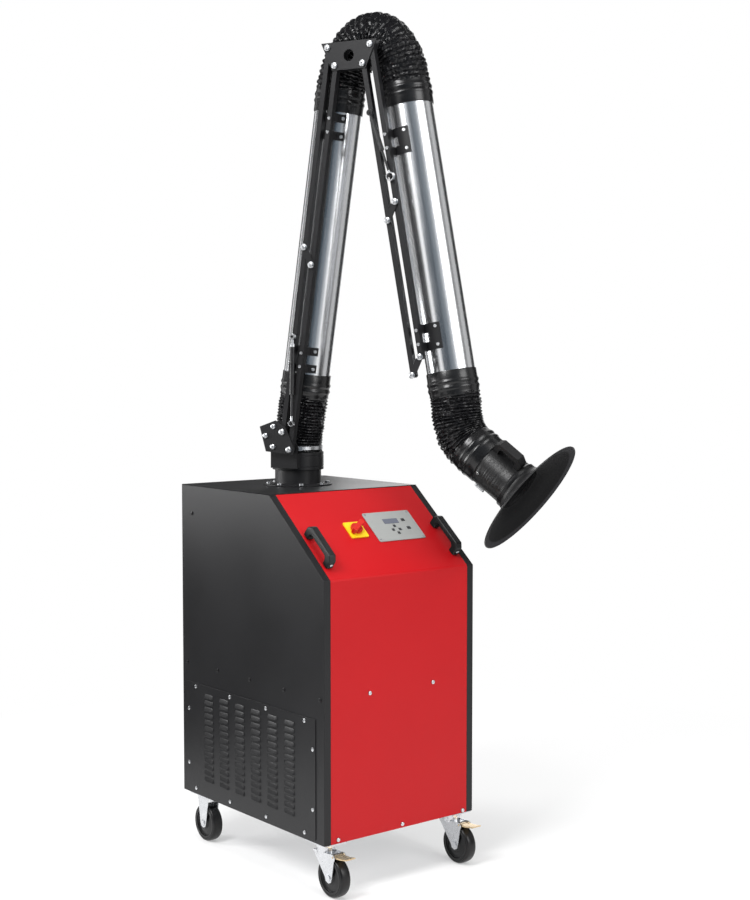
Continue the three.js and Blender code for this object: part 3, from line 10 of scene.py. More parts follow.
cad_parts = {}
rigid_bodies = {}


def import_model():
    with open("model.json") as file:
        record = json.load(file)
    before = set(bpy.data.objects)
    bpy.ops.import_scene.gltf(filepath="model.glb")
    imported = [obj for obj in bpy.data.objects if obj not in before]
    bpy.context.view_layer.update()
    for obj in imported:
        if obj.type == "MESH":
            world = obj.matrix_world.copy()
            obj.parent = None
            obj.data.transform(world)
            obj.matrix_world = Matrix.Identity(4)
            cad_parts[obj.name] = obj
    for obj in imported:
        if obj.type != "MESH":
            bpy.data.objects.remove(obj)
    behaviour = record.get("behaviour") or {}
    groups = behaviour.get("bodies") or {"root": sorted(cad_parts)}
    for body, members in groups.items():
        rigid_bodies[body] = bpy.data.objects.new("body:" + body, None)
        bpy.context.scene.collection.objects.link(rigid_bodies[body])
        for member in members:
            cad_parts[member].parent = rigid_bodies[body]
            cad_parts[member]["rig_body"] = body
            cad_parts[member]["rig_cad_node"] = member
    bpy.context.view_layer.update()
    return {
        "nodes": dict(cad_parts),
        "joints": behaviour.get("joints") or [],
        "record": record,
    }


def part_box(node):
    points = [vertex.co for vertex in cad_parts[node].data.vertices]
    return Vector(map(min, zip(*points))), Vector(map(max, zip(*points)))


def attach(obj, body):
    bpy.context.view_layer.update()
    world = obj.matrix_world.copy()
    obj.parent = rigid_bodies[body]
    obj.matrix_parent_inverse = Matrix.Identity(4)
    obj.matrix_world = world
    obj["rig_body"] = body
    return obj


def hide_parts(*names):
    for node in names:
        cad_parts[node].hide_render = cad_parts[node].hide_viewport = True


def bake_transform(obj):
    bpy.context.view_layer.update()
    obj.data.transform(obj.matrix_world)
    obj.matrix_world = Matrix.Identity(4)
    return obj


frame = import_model()

bl_info = {
    "name": "Fume extractor dressing",
    "version": (1, 0, 0),
    "blender": (4, 5, 0),
    "location": "View3D > Sidebar > Extractor",
    "description": "Builds the visible pieces of a mobile fume extractor around its packed frame",
    "category": "Object",
}

# Places, outlines and boxes are in millimetres. Edge widths, screw heads and the stage are in metres.
MM = 0.001
UP = Vector((0, 0, 1))
RIGHT = Vector((1, 0, 0))
AHEAD_OF_CABINET = Vector((0, -1, 0))
JOINTS = {joint["name"]: joint for joint in frame["joints"]}
BODY = {node: body for body, nodes in frame["record"]["behaviour"]["bodies"].items() for node in nodes}
SLOT = {part["node"]: part["material_slot"] for part in frame["record"]["subparts"]}


def pivot(joint):
    """Where a joint turns, at rest."""
    return Vector(JOINTS[joint]["pos_m"])


def reach(node, way):
    """How far a CAD node reaches along a direction."""
    return max(vertex.co.dot(way) for vertex in frame["nodes"][node].data.vertices)


def on_face(point, node, way):
    """A point moved along a direction to the outermost face of a CAD node."""
    return point + way * (reach(node, way) - point.dot(way))


def on_surface(point, node, way):
    """A point moved along a direction to the face of a CAD node that is met there from outside."""
    mesh = frame["nodes"][node].data
    points = [vertex.co for vertex in mesh.vertices]
    faces = BVHTree.FromPolygons(points, [face.vertices for face in mesh.polygons])
    spot = faces.ray_cast(on_face(point, node, way) + way * MM, -way)[0]
    if spot is None:
        raise RuntimeError(f"{node} has no face at {point}")
    return spot


def turn_to(way):
    """The turn that stands an upright thing along a direction."""
    return way.to_track_quat("Z", "Y")


class RoundPiece:
    """The axis, the ends and the length of a round CAD node that lies along a direction."""

    def __init__(self, node, way):
        side = way.orthogonal().normalized()
        middle = Vector()
        for axis in (side, way.cross(side)):
            middle += axis * (reach(node, axis) - reach(node, -axis)) / 2
        self.way = way
        self.start = middle - way * reach(node, -way)
        self.end = middle + way * reach(node, way)
        self.length = (self.end - self.start).length / MM

    def at(self, distance):
        """The point on the axis at a distance in millimetres from the start."""
        return self.start + self.way * distance * MM


ARMS = ("lower", "outer")
# Directions of the arm: across it, towards its linkage, ahead, and along each of its tubes and its hood
ACROSS = Vector(JOINTS["lower_arm_tilt"]["axis"]).normalized()
TO_LINKAGE = -ACROSS
AHEAD = ACROSS.cross(UP)
LOWER_WAY = (pivot("elbow_level") - pivot("lower_arm_tilt")).normalized()
OUTER_WAY = (pivot("outer_strut_end_turn") - pivot("outer_arm_tilt")).normalized()
HOOD_WAY = (pivot("damper_turn") - pivot("hood_swing")).normalized()
LOWER_TUBE = RoundPiece("lower_tube", LOWER_WAY)
OUTER_TUBE = RoundPiece("outer_tube", OUTER_WAY)
HOOD_NECK = RoundPiece("hood_neck", HOOD_WAY)
HOOD_BELL = RoundPiece("hood_bell", HOOD_WAY)
COLLAR = RoundPiece("base_collar", UP)
FLANGE = RoundPiece("arm_flange", UP)

# The cabinet's own origin is on the floor, in the middle of its front
CABINET = Vector((
    (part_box("left_side_panel")[0].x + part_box("right_side_panel")[1].x) / 2,
    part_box("front_panel")[0].y,
    0,
))
FOLD_HEIGHT = 970
SLOPE_OUT = Vector(JOINTS["switch_turn"]["axis"]).normalized()
SLOPE_UP = SLOPE_OUT.cross(RIGHT)


def on_cabinet(x, y, z):
    """A point of the cabinet in millimetres from its own origin."""
    return CABINET + Vector((x, y, z)) * MM


def on_slope(x, s, out=0):
    """A point of the sloped fascia: across from the middle, up from the fold and out of the sheet."""
    return on_cabinet(x, 0, FOLD_HEIGHT) + (SLOPE_UP * s + SLOPE_OUT * out) * MM


def colour(name, description, default):
    """A colour that a user may change."""
    return FloatVectorProperty(
        name=name, description=description, subtype="COLOR", size=3, min=0, max=1, default=default,
    )


def length(name, description, default):
    """A length in metres that a user may change."""
    return FloatProperty(name=name, description=description, unit="LENGTH", default=default)


class ExtractorColours(bpy.types.PropertyGroup):
    """Colours of the finishes."""

    black_paint: colour("Black paint", "Powder coat of sheets, plates and bars", (0.0105, 0.0105, 0.0115))
    red_paint: colour("Red paint", "Powder coat of the folded front", (0.47, 0.0062, 0.0095))
    zinc: colour("Zinc", "Plating of castors, bolts and clips", (0.68, 0.69, 0.71))
    polished: colour("Polished tube", "Polished aluminium of the duct tubes", (0.84, 0.85, 0.87))
    hose: colour("Hose", "Coated fabric of the hoses", (0.0035, 0.0035, 0.004))
    cuff: colour("Cuff", "Smooth rubber of the hose cuffs", (0.0065, 0.0065, 0.007))
    moulded: colour("Moulding", "Matt black mouldings of the hood and the handles", (0.0095, 0.0095, 0.010))
    # The dark colour of the sheet of painted shade inside the hood's mouth
    lining: colour("Lining", "Dull lining of the hood's mouth", (0.0042, 0.0042, 0.0046))
    wheel_rubber: colour("Wheel", "Rubber of the castor wheels", (0.0042, 0.0042, 0.0046))
    keypad: colour("Keypad", "Silver grey film of the keypad", (0.40, 0.41, 0.40))
    display: colour("Display", "Dark glass of the display", (0.085, 0.095, 0.135))
    button: colour("Button", "Dark keys of the keypad", (0.030, 0.031, 0.034))
    yellow_zinc: colour("Yellow zinc", "Passivated plating of the brake pedals", (0.66, 0.50, 0.30))
    yellow: colour("Yellow", "Plate of the main switch", (0.93, 0.60, 0.008))
    knob_red: colour("Knob", "Knob of the main switch", (0.56, 0.016, 0.008))
    cast: colour("Casting", "Bare castings of the fan", (0.26, 0.28, 0.30))
    paper: colour("Filter paper", "Pleated paper of the filter", (0.78, 0.75, 0.66))


class ExtractorSizes(bpy.types.PropertyGroup):
    """Sizes of the pieces that the frame doesn't give."""

    rib_pitch: length("Rib pitch", "Distance between the ribs of a slack hose", 0.0105)
    stretched_pitch: length("Stretched pitch", "Distance between the ribs of the elbow's hose", 0.0138)
    rib_crest: length("Rib crest", "Radius of the hose over its ribs", 0.0812)
    rib_valley: length("Rib valley", "Radius of the hose between its ribs", 0.0762)
    crinkle: length("Crinkle", "Depth of the hose's creases", 0.0105)
    sheet_round: length("Sheet edge", "Rounding of folded sheet edges", 0.0014)
    plate_round: length("Plate edge", "Rounding of plate and bar edges", 0.0009)
    grip_round: length("Grip edge", "Rounding of the handles", 0.0055)
    pivot_head: length("Pivot head", "Radius of the bolt heads at the pivots", 0.0105)
    screw_head: length("Screw head", "Radius of the cabinet's screw heads", 0.0062)


class ExtractorStage(bpy.types.PropertyGroup):
    """Camera and light."""

    camera_x: length("Camera across", "Camera's place across the cabinet's front", -3.004)
    camera_y: length("Camera back", "Camera's place behind the cabinet's front", -3.620)
    camera_z: length("Camera height", "Camera's height over the floor", 1.639)
    camera_yaw: FloatProperty(name="Yaw", description="Camera's turn to the right", subtype="ANGLE",
                              default=math.radians(38.69))
    camera_pitch: FloatProperty(name="Pitch", description="Camera's tilt upwards", subtype="ANGLE",
                                default=math.radians(-3.5))
    lens: FloatProperty(name="Lens", description="Focal length in millimetres", default=61.09)
    ambient: FloatProperty(name="Ambient", description="White room's strength on the object", default=0.42)
    key_power: IntProperty(name="Key", description="Power of the key light in watts", default=190)
    fill_power: IntProperty(name="Fill", description="Power of the fill light in watts", default=110)
    side_power: IntProperty(name="Side", description="Power of the side light in watts", default=72)
    back_power: IntProperty(name="Back", description="Power of the light behind in watts", default=36)


def settings(group):
    """One of the property groups of the scene."""
    return getattr(bpy.context.scene, f"extractor_{group}")


def rgba(values, times=1.0):
    """A colour as a socket takes it, brightened or darkened."""
    return (*(min(1.0, value * times) for value in values), 1)


class Value:
    """A socket of a node tree. Arithmetic on it adds Math nodes."""

    def __init__(self, nodes, socket):
        self.nodes = nodes
        self.socket = socket

    def __add__(self, other):
        return self.nodes.math("ADD", self, other)

    def __radd__(self, other):
        return self.nodes.math("ADD", other, self)

    def __mul__(self, other):
        return self.nodes.math("MULTIPLY", self, other)

    def __rmul__(self, other):
        return self.nodes.math("MULTIPLY", other, self)


class Nodes:
    """A node tree and the ways to add to it."""

    def __init__(self, tree):
        self.tree = tree

    def node(self, kind, options=None, inputs=None, output=0):
        """Adds a node, sets it up, feeds it and returns one of its outputs."""
        made = self.tree.nodes.new(kind)
        for key, value in (options or {}).items():
            setattr(made, key, value)
        self.feed(made, inputs or {})
        return Value(self, made.outputs[output])

    def feed(self, node, inputs):
        """Links or sets the sockets of a node."""
        for key, value in inputs.items():
            if isinstance(value, Value):
                self.tree.links.new(value.socket, node.inputs[key])
            else:
                node.inputs[key].default_value = value

    def math(self, operation, one, other):
        """A number made of two numbers."""
        return self.node("ShaderNodeMath", {"operation": operation}, {0: one, 1: other})

    def mix(self, share, one, other):
        """A colour between two colours, by the numbers of the Mix node's colour sockets."""
        return self.node("ShaderNodeMix", {"data_type": "RGBA"}, {0: share, 6: one, 7: other}, 2)

    def shades(self, share, tint, dark, pale):
        """A colour between a darker and a paler shade of a tint."""
        return self.mix(share, rgba(tint, dark), rgba(tint, pale))

    def slide(self, value, start, end, low=0.0, high=1.0):
        """A number that goes from low to high while a value goes from start to end."""
        ends = {"From Min": start, "From Max": end, "To Min": low, "To Max": high}
        return self.node("ShaderNodeMapRange", None, {"Value": value, **ends})

    def where(self):
        """The place on the object."""
        return self.node("ShaderNodeTexCoord", output="Object")

    def distance(self, point):
        """How far a place on the object is from a point."""
        ends = {0: self.where(), 1: point}
        return self.node("ShaderNodeVectorMath", {"operation": "DISTANCE"}, ends, "Value")

    def noise(self, scale, detail=2.0, stretch=(1, 1, 1), turn=(0, 0, 0)):
        """Cloudy noise with its number of clouds in a metre, stretched along the axes of a turned frame."""
        inputs = {"Vector": self.where(), "Rotation": turn, "Scale": stretch}
        spot = self.node("ShaderNodeMapping", {"vector_type": "TEXTURE"}, inputs)
        return self.node("ShaderNodeTexNoise", None, {"Vector": spot, "Scale": scale, "Detail": detail})

    def cells(self, scale, output="Distance"):
        """Cells with their number in a metre."""
        return self.node("ShaderNodeTexVoronoi", None, {"Vector": self.where(), "Scale": scale}, output)

    def bump(self, height, strength, deep):
        """A normal that shows a height."""
        return self.node("ShaderNodeBump", None, {"Height": height, "Strength": strength, "Distance": deep})


# How far plating reaches from a spring's eye, and where the painted shade inside the bell turns into a paler
# band of painted light along its rim, and how much paler
EYE_PLATED = 34 * MM
PAINTED_RIM_LIGHT_BAND = (182 * MM, 187 * MM)
PAINTED_RIM_LIGHT = 5.5


def black_paint(nodes, tint):
    """Satin powder coat: fine orange peel and a slow drift of gloss."""
    peel = nodes.noise(650, 2)
    drift = nodes.noise(4, 3)
    return {
        "Base Color": nodes.shades(drift, tint, 0.85, 1.3),
        "Specular IOR Level": 0.30,
        "Roughness": 0.30 + drift * 0.10 + peel * 0.08,
        "Normal": nodes.bump(peel, 0.10, 0.0006),
    }


def red_paint(nodes, tint):
    """Smooth red powder coat."""
    peel = nodes.noise(520, 2)
    drift = nodes.noise(3, 3)
    return {
        "Base Color": nodes.shades(drift, tint, 0.94, 1.05),
        "Specular IOR Level": 0.22,
        "Roughness": 0.34 + drift * 0.08 + peel * 0.06,
        "Normal": nodes.bump(peel, 0.08, 0.0006),
    }


def zinc(nodes, tint):
    """Bright zinc with a faint spangle."""
    spangle = nodes.cells(260, "Color")
    drift = nodes.noise(40, 3)
    return {
        "Metallic": 1.0,
        "Base Color": nodes.shades(drift, tint, 0.86, 1.12),
        "Roughness": 0.20 + spangle * 0.12 + drift * 0.08,
    }


def spring(nodes, tint):
    """Black gas spring with plated eyes."""
    drift = nodes.noise(40, 3)
    eyes = [pivot("lower_spring_swing")]
    for arm in ARMS:
        way = Vector(JOINTS[f"{arm}_spring_slide"]["axis"])
        eyes.append(on_face(pivot(f"{arm}_spring_swing"), f"{arm}_gas_rod", way))
    plated = 0.0
    for eye in eyes:
        near = nodes.math("LESS_THAN", nodes.distance(eye), EYE_PLATED)
        plated = nodes.math("MAXIMUM", plated, near)
    return {
        "Metallic": plated,
        "Base Color": nodes.mix(plated, rgba(tint), rgba(settings("colours").zinc)),
        "Roughness": 0.24 + drift * 0.10,
    }


def polished(nodes, tint, way):
    """Polished aluminium with fine drawing lines along a direction."""
    lines = nodes.noise(420, 2, (1, 1, 60), turn_to(way).to_euler())
    haze = nodes.noise(7, 3)
    return {
        "Metallic": 1.0,
        "Base Color": nodes.shades(lines, tint, 0.90, 1.06),
        "Roughness": 0.16 + lines * 0.07 + haze * 0.05,
        "Normal": nodes.bump(lines, 0.05, 0.0003),
    }


def along_lower(nodes, tint):
    """Polished, with its lines along the lower tube."""
    return polished(nodes, tint, LOWER_WAY)


def along_outer(nodes, tint):
    """Polished, with its lines along the outer tube."""
    return polished(nodes, tint, OUTER_WAY)


def hose(nodes, tint):
    """Coated fabric: glossy, crinkled, with a fine weave under the coat."""
    creases = nodes.noise(48, 2) + nodes.cells(60) * 0.5
    weave = nodes.noise(900, 1)
    return {
        # The colour follows the crease bump: painted shade where it dips, painted light on its crests
        "Base Color": nodes.shades(creases, tint, 0.6, 1.8),
        "Specular IOR Level": 0.40,
        "Roughness": 0.05 + creases * 0.08 + weave * 0.05,
        "Normal": nodes.bump(creases + weave * 0.03, 0.85, 0.009),
    }


def cuff(nodes, tint):
    """Smooth rubber with a soft gloss."""
    bloom = nodes.noise(26, 4)
    grain = nodes.noise(700, 2)
    return {
        "Base Color": nodes.shades(bloom, tint, 0.8, 1.5),
        "Specular IOR Level": 0.52,
        "Roughness": 0.17 + bloom * 0.14,
        "Normal": nodes.bump(grain, 0.08, 0.0005),
    }


def moulded(nodes, tint):
    """Matt moulding with a spark-eroded grain."""
    grain = nodes.noise(800, 3)
    drift = nodes.noise(9, 3)
    return {
        "Base Color": nodes.shades(drift, tint, 0.85, 1.25),
        "Specular IOR Level": 0.42,
        "Roughness": 0.36 + grain * 0.10 + drift * 0.06,
        "Normal": nodes.bump(grain, 0.16, 0.0006),
    }


def grooved(nodes, tint):
    """Matt moulding with fine rings round the hood's neck."""
    rings = nodes.noise(170, 3, (25, 25, 1), turn_to(HOOD_WAY).to_euler())
    grain = nodes.noise(800, 3)
    return {
        "Base Color": nodes.shades(grain, tint, 0.85, 1.25),
        "Specular IOR Level": 0.36,
        "Roughness": 0.27 + grain * 0.10,
        "Normal": nodes.bump(rings + grain * 0.1, 0.65, 0.0022),
    }


def lining(nodes, tint):
    """Dull dark skin with a fine nap, its dark colour painted shade inside the bell's mouth, with a paler
    band of painted light along the rim.
    """
    nap = nodes.noise(1200, 3)
    drift = nodes.noise(14, 3)
    # Painted light: a paler band along the bell's rim, over the painted shade of the rest of the mouth
    rim = nodes.slide(nodes.distance(HOOD_BELL.end), *PAINTED_RIM_LIGHT_BAND)
    return {
        "Base Color": nodes.mix(rim, nodes.shades(drift, tint, 0.8, 1.3), rgba(tint, PAINTED_RIM_LIGHT)),
        "Specular IOR Level": 0.10,
        "Roughness": 0.70 + nap * 0.15,
        "Normal": nodes.bump(nap, 0.2, 0.0005),
    }


def wheel_rubber(nodes, tint):
    """Rubber with dusty patches."""
    dust = nodes.noise(45, 5)
    grain = nodes.noise(900, 2)
    return {
        "Base Color": nodes.shades(dust, tint, 0.7, 1.6),
        "Specular IOR Level": 0.36,
        "Roughness": 0.22 + dust * 0.18,
        "Normal": nodes.bump(grain, 0.12, 0.0005),
    }


def keypad(nodes, tint):
    """Brushed silver film."""
    brush = nodes.noise(900, 2, (40, 1, 1))
    return {
        "Metallic": 0.25,
        "Base Color": nodes.shades(brush, tint, 0.92, 1.08),
        "Roughness": 0.38 + brush * 0.10,
    }


def display(nodes, tint):
    """Dark glass with a faint cell pattern."""
    cells = nodes.noise(1500, 1)
    return {
        "Base Color": nodes.shades(cells, tint, 0.85, 1.15),
        "Roughness": 0.12 + cells * 0.05,
        "Coat Weight": 0.5,
    }


def plastic(nodes, tint):
    """Moulded plastic with a light grain."""
    grain = nodes.noise(900, 2)
    drift = nodes.noise(30, 2)
    return {
        "Base Color": nodes.shades(drift, tint, 0.95, 1.05),
        "Roughness": 0.34 + grain * 0.10,
        "Normal": nodes.bump(grain, 0.06, 0.0004),
    }


def cast(nodes, tint):
    """Bare casting with a sandy skin."""
    sand = nodes.noise(500, 4)
    return {
        "Metallic": 0.85,
        "Base Color": nodes.shades(sand, tint, 0.8, 1.2),
        "Roughness": 0.42 + sand * 0.2,
        "Normal": nodes.bump(sand, 0.3, 0.0008),
    }


def paper(nodes, tint):
    """Filter paper with loose fibres."""
    fibres = nodes.noise(350, 4, (1, 1, 6))
    return {
        "Base Color": nodes.shades(fibres, tint, 0.86, 1.06),
        "Roughness": 0.85 + fibres * 0.1,
        "Normal": nodes.bump(fibres, 0.2, 0.0006),
    }


# Each finish, with the colour that it takes
FINISHES = {
    "black_paint": (black_paint, "black_paint"),
    "red_paint": (red_paint, "red_paint"),
    "spring": (spring, "black_paint"),
    "zinc": (zinc, "zinc"),
    "yellow_zinc": (zinc, "yellow_zinc"),
    "along_lower": (along_lower, "polished"),
    "along_outer": (along_outer, "polished"),
    "hose": (hose, "hose"),
    "cuff": (cuff, "cuff"),
    "moulded": (moulded, "moulded"),
    "grooved": (grooved, "moulded"),
    "lining": (lining, "lining"),
    "wheel_rubber": (wheel_rubber, "wheel_rubber"),
    "keypad": (keypad, "keypad"),
    "display": (display, "display"),
    "button": (plastic, "button"),
    "yellow": (plastic, "yellow"),
    "knob_red": (plastic, "knob_red"),
    "cast": (cast, "cast"),
    "paper": (paper, "paper"),
}
MATERIALS = {}


def new_material(name):
    """A new material and its nodes."""
    made = bpy.data.materials.new(name)
    made.use_nodes = True
    return made, Nodes(made.node_tree)


def finished(name):
    """The material of a finish, made on its first use."""
    if name not in MATERIALS:
        make, tint = FINISHES[name]
        made, nodes = new_material(name)
        inputs = make(nodes, tuple(getattr(settings("colours"), tint)))
        nodes.feed(made.node_tree.nodes["Principled BSDF"], inputs)
        MATERIALS[name] = made
    return MATERIALS[name]


def only(*objects):
    """Selects these objects alone, the first of them active."""
    bpy.ops.object.select_all(action="DESELECT")
    for obj in objects:
        obj.select_set(True)
    bpy.context.view_layer.objects.active = objects[0]


def added(add, **options):
    """A new object from one of Blender's add operators, selected alone."""
    bpy.ops.object.select_all(action="DESELECT")
    add(**options)
    return bpy.context.object


def copy_of(source):
    """A copy of an object with its own mesh."""
    obj = source.copy()
    obj.data = source.data.copy()
    bpy.context.scene.collection.objects.link(obj)
    return obj


def joined(objects):
    """Objects joined into the first of them."""
    only(*objects)
    if len(objects) > 1:
        bpy.ops.object.join()
    return objects[0]


def discard(obj):
    """Removes an object that was only a help."""
    bpy.data.objects.remove(obj)


def edit(obj):
    """Opens an object in edit mode with all of it selected."""
    only(obj)
    bpy.ops.object.mode_set(mode="EDIT")
    bpy.ops.mesh.select_mode(type="VERT")
    bpy.ops.mesh.select_all(action="SELECT")


def leave():
    """Closes edit mode."""
    bpy.ops.object.mode_set(mode="OBJECT")


def pick(obj, kind, test):
    """Opens an object in edit mode with only the faces or edges selected that pass a test."""
    edit(obj)
    bpy.ops.mesh.select_mode(type="FACE" if kind == "polygons" else "EDGE")
    bpy.ops.mesh.select_all(action="DESELECT")
    leave()
    for element in getattr(obj.data, kind):
        element.select = test(element)
    bpy.ops.object.mode_set(mode="EDIT")


def modify(obj, kind, **options):
    """Adds a modifier, sets it up and applies it."""
    only(obj)
    bpy.ops.object.modifier_add(type=kind)
    modifier = obj.modifiers[-1]
    for key, value in options.items():
        setattr(modifier, key, value)
    bpy.ops.object.modifier_apply(modifier=modifier.name)


# Edges sharper than these angles stay sharp in smooth shading, and are rounded
SHARP_OVER, ROUNDED_OVER = 32, 30


def smooth(obj, degrees=SHARP_OVER):
    """Smooth shading, with edges kept where they are sharper than an angle."""
    only(obj)
    bpy.ops.object.shade_smooth_by_angle(angle=math.radians(degrees))


def rounded(obj, width, segments=2):
    """Rounds the sharp edges of a piece."""
    limit = {"limit_method": "ANGLE", "angle_limit": math.radians(ROUNDED_OVER)}
    modify(obj, "BEVEL", width=width, segments=segments, **limit)
    smooth(obj)
    modify(obj, "WEIGHTED_NORMAL", keep_sharp=True, weight=100)


def place(obj, origin, way):
    """Stands a piece that was made about the world's origin at a point, along a direction."""
    obj.matrix_world = Matrix.Translation(origin) @ turn_to(way).to_matrix().to_4x4()
    only(obj)
    bpy.ops.object.transform_apply()
    return obj


def keep(obj, name, body, finish, slot, *nodes):
    """Names a finished piece, gives it its finish and sets it on its body."""
    obj.name = name
    obj.data.name = name
    obj.data.materials.clear()
    obj.data.materials.append(finished(finish))
    if body:
        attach(obj, body)
    if nodes:
        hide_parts(*nodes)
    return obj


# Points closer than this are merged, faces within this angle count as one flat face, and a face looks
# along a direction when its normal has this much of it
WELD = 1e-6
FLAT_WITHIN = 1
FACING = 0.9


def spun(profile, origin, way, steps, closed=True):
    """A turned piece from points of radius and height in millimetres, along a direction."""
    obj = added(bpy.ops.mesh.primitive_plane_add, location=(0, 0, 0))
    edit(obj)
    bpy.ops.mesh.merge(type="CENTER")
    radius, height = profile[0]
    bpy.ops.transform.translate(value=(radius * MM, 0, height * MM))
    points = [*profile, profile[0]] if closed else profile
    for (radius, height), (next_radius, next_height) in zip(points, points[1:]):
        step = ((next_radius - radius) * MM, 0, (next_height - height) * MM)
        bpy.ops.mesh.extrude_region_move(TRANSFORM_OT_translate={"value": step})
    bpy.ops.mesh.select_all(action="SELECT")
    bpy.ops.mesh.remove_doubles(threshold=WELD)
    bpy.ops.mesh.spin(steps=steps, angle=2 * math.pi, center=(0, 0, 0), axis=(0, 0, 1))
    bpy.ops.mesh.select_all(action="SELECT")
    bpy.ops.mesh.remove_doubles(threshold=WELD)
    bpy.ops.mesh.normals_make_consistent(inside=False)
    leave()
    smooth(obj)
    return place(obj, origin, way)


def copied(node):
    """A merged copy of a CAD node that belongs to the dressing."""
    obj = copy_of(frame["nodes"][node])
    obj.parent = None
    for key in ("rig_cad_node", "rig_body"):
        del obj[key]
    edit(obj)
    bpy.ops.mesh.remove_doubles(threshold=WELD)
    bpy.ops.mesh.dissolve_limited(angle_limit=math.radians(FLAT_WITHIN))
    leave()
    return obj


def dressed(node, finish, width, segments=2):
    """A CAD node with its edges rounded, in its finish."""
    obj = copied(node)
    rounded(obj, width, segments)
    keep(obj, f"{node}_dressed", BODY[node], finish, SLOT[node], node)


def turned(node, finish, profile, origin, way, steps):
    """A CAD node turned anew from its outline, in its finish."""
    obj = spun(profile, origin, way, steps)
    keep(obj, f"{node}_turned", BODY[node], finish, SLOT[node], node)


# Shares of a domed head: its shoulder and the wall of its socket in the radius, its dome and the depth of
# its socket in the height, and how much of the radius the largest socket takes
HEAD_SHOULDER, SOCKET_WALL = 0.22, 0.03
HEAD_DOME, SOCKET_DEEP = 0.35, 0.5
SOCKET_LARGEST = 0.6


def button_head(radius, high, socket=0.5, sides=20):
    """One domed screw head about the origin, with a recess in its top."""
    size = {"vertices": sides, "radius": radius, "depth": high}
    obj = added(bpy.ops.mesh.primitive_cylinder_add, location=(0, 0, high / 2), **size)
    bpy.ops.object.transform_apply()
    pick(obj, "polygons", lambda face: face.normal.z > FACING)
    bpy.ops.mesh.inset(thickness=radius * HEAD_SHOULDER)
    bpy.ops.transform.translate(value=(0, 0, high * HEAD_DOME))
    bpy.ops.mesh.inset(thickness=radius * (1 - HEAD_SHOULDER - socket * SOCKET_LARGEST))
    bpy.ops.mesh.inset(thickness=radius * SOCKET_WALL)
    bpy.ops.transform.translate(value=(0, 0, -high * SOCKET_DEEP))
    leave()
    smooth(obj, degrees=40)
    return obj


def heads(head, places, name, body, finish="zinc"):
    """Sets a head, given as button_head takes it, at each point and direction, joined into one piece."""
    model = button_head(*head)
    made = [place(copy_of(model), origin, way) for origin, way in places]
    keep(joined(made), name, body, finish, finish)
    discard(model)


def rounded_box(size, origin, up, across, width):
    """A box with rounded edges that stands on a point of a face."""
    obj = added(bpy.ops.mesh.primitive_cube_add, size=1, location=(0, 0, 0))
    obj.scale = Vector(size) * MM
    obj.location = (0, 0, size[2] * MM / 2)
    bpy.ops.object.transform_apply()
    turned = Matrix((across, up.cross(across), up)).transposed().to_4x4()
    obj.matrix_world = Matrix.Translation(origin) @ turned
    bpy.ops.object.transform_apply()
    rounded(obj, width * MM, segments=3)
    return obj


# Rounding of small plates and castings
SMALL_ROUND = 0.0008
# Places of the cabinet's screws: across or back from its origin, and up
FRONT_SCREWS = ((-125, 610), (130, 610), (-248, 177), (5, 177), (258, 173))
SIDE_SCREWS = ((20, 609), (208, 609), (396, 609), (584, 609), (772, 609), (736, 1116))
SCREW_HIGH = 0.0024
FOLD_ROUND, FOLD_STEPS = 0.007, 6


class EXTRACTOR_OT_cabinet(bpy.types.Operator):
    """Dress the sheet cabinet and set its screws"""

    bl_idname = "extractor.cabinet"
    bl_label = "Cabinet"

    def execute(self, context):
        sizes = settings("sizes")
        for node in ("left_side_panel", "right_side_panel", "back_panel", "top_plate"):
            dressed(node, "black_paint", sizes.sheet_round)
        self.front(sizes)
        head = (sizes.screw_head, SCREW_HIGH)
        front = [(on_cabinet(x, 0, z), AHEAD_OF_CABINET) for x, z in FRONT_SCREWS]
        heads(head, front, "front_screws", "cabinet")
        sides = []
        for y, z in SIDE_SCREWS:
            for node, way in (("left_side_panel", -RIGHT), ("right_side_panel", RIGHT)):
                sides.append((on_face(on_cabinet(0, y, z), node, way), way))
        heads(head, sides, "side_screws", "cabinet", "black_paint")
        return {"FINISHED"}

    @staticmethod
    def front(sizes):
        """The red sheet, with a soft fold between its upright part and its slope."""
        obj = copied("front_panel")
        fold = on_cabinet(0, 0, FOLD_HEIGHT)

        def on_fold(edge):
            ends = [obj.data.vertices[index].co for index in edge.vertices]
            return all(abs(end.y - fold.y) < MM and abs(end.z - fold.z) < MM for end in ends)

        pick(obj, "edges", on_fold)
        bpy.ops.mesh.bevel(offset=FOLD_ROUND, segments=FOLD_STEPS)
        leave()
        rounded(obj, sizes.sheet_round / 2)
        keep(obj, "front_panel_dressed", "cabinet", "red_paint", "red_paint", "front_panel")
        # Left out of reflections, as a black flag would do, so that the hood over it stays black
        obj.visible_glossy = False


VENT_LOW, VENT_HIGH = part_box("louvre_panel")
VENT_SHEET, VENT_ROUND = 2, 0.6
VENT_SCREW_INSET = 12
VENT_ROW_SHARES = (0.075, 0.358, 0.642, 0.925)
VENT_SIDE_SHARES = (0.25, 0.75)
LOUVRE_COLUMNS, LOUVRE_ROWS = 6, 14
LOUVRE_COLUMN_PITCH, LOUVRE_ROW_PITCH = 92, 21.6
LOUVRE_WIDE, LOUVRE_HIGH, LOUVRE_OUT = 54, 14, 5.9
LOUVRE_LOWEST = 224
# Shares of a louvre: how far its top goes back, how wide its face is and how deep its open lip is
LOUVRE_BACK, LOUVRE_FACE, LIP_DEEP = 0.94, 0.84, 0.3
# A face of a louvre is its front when its normal looks out by this much
LOUVRE_FACING = 0.3
LOUVRE_ROUND, LIP_WALL = 0.0022, 0.0008


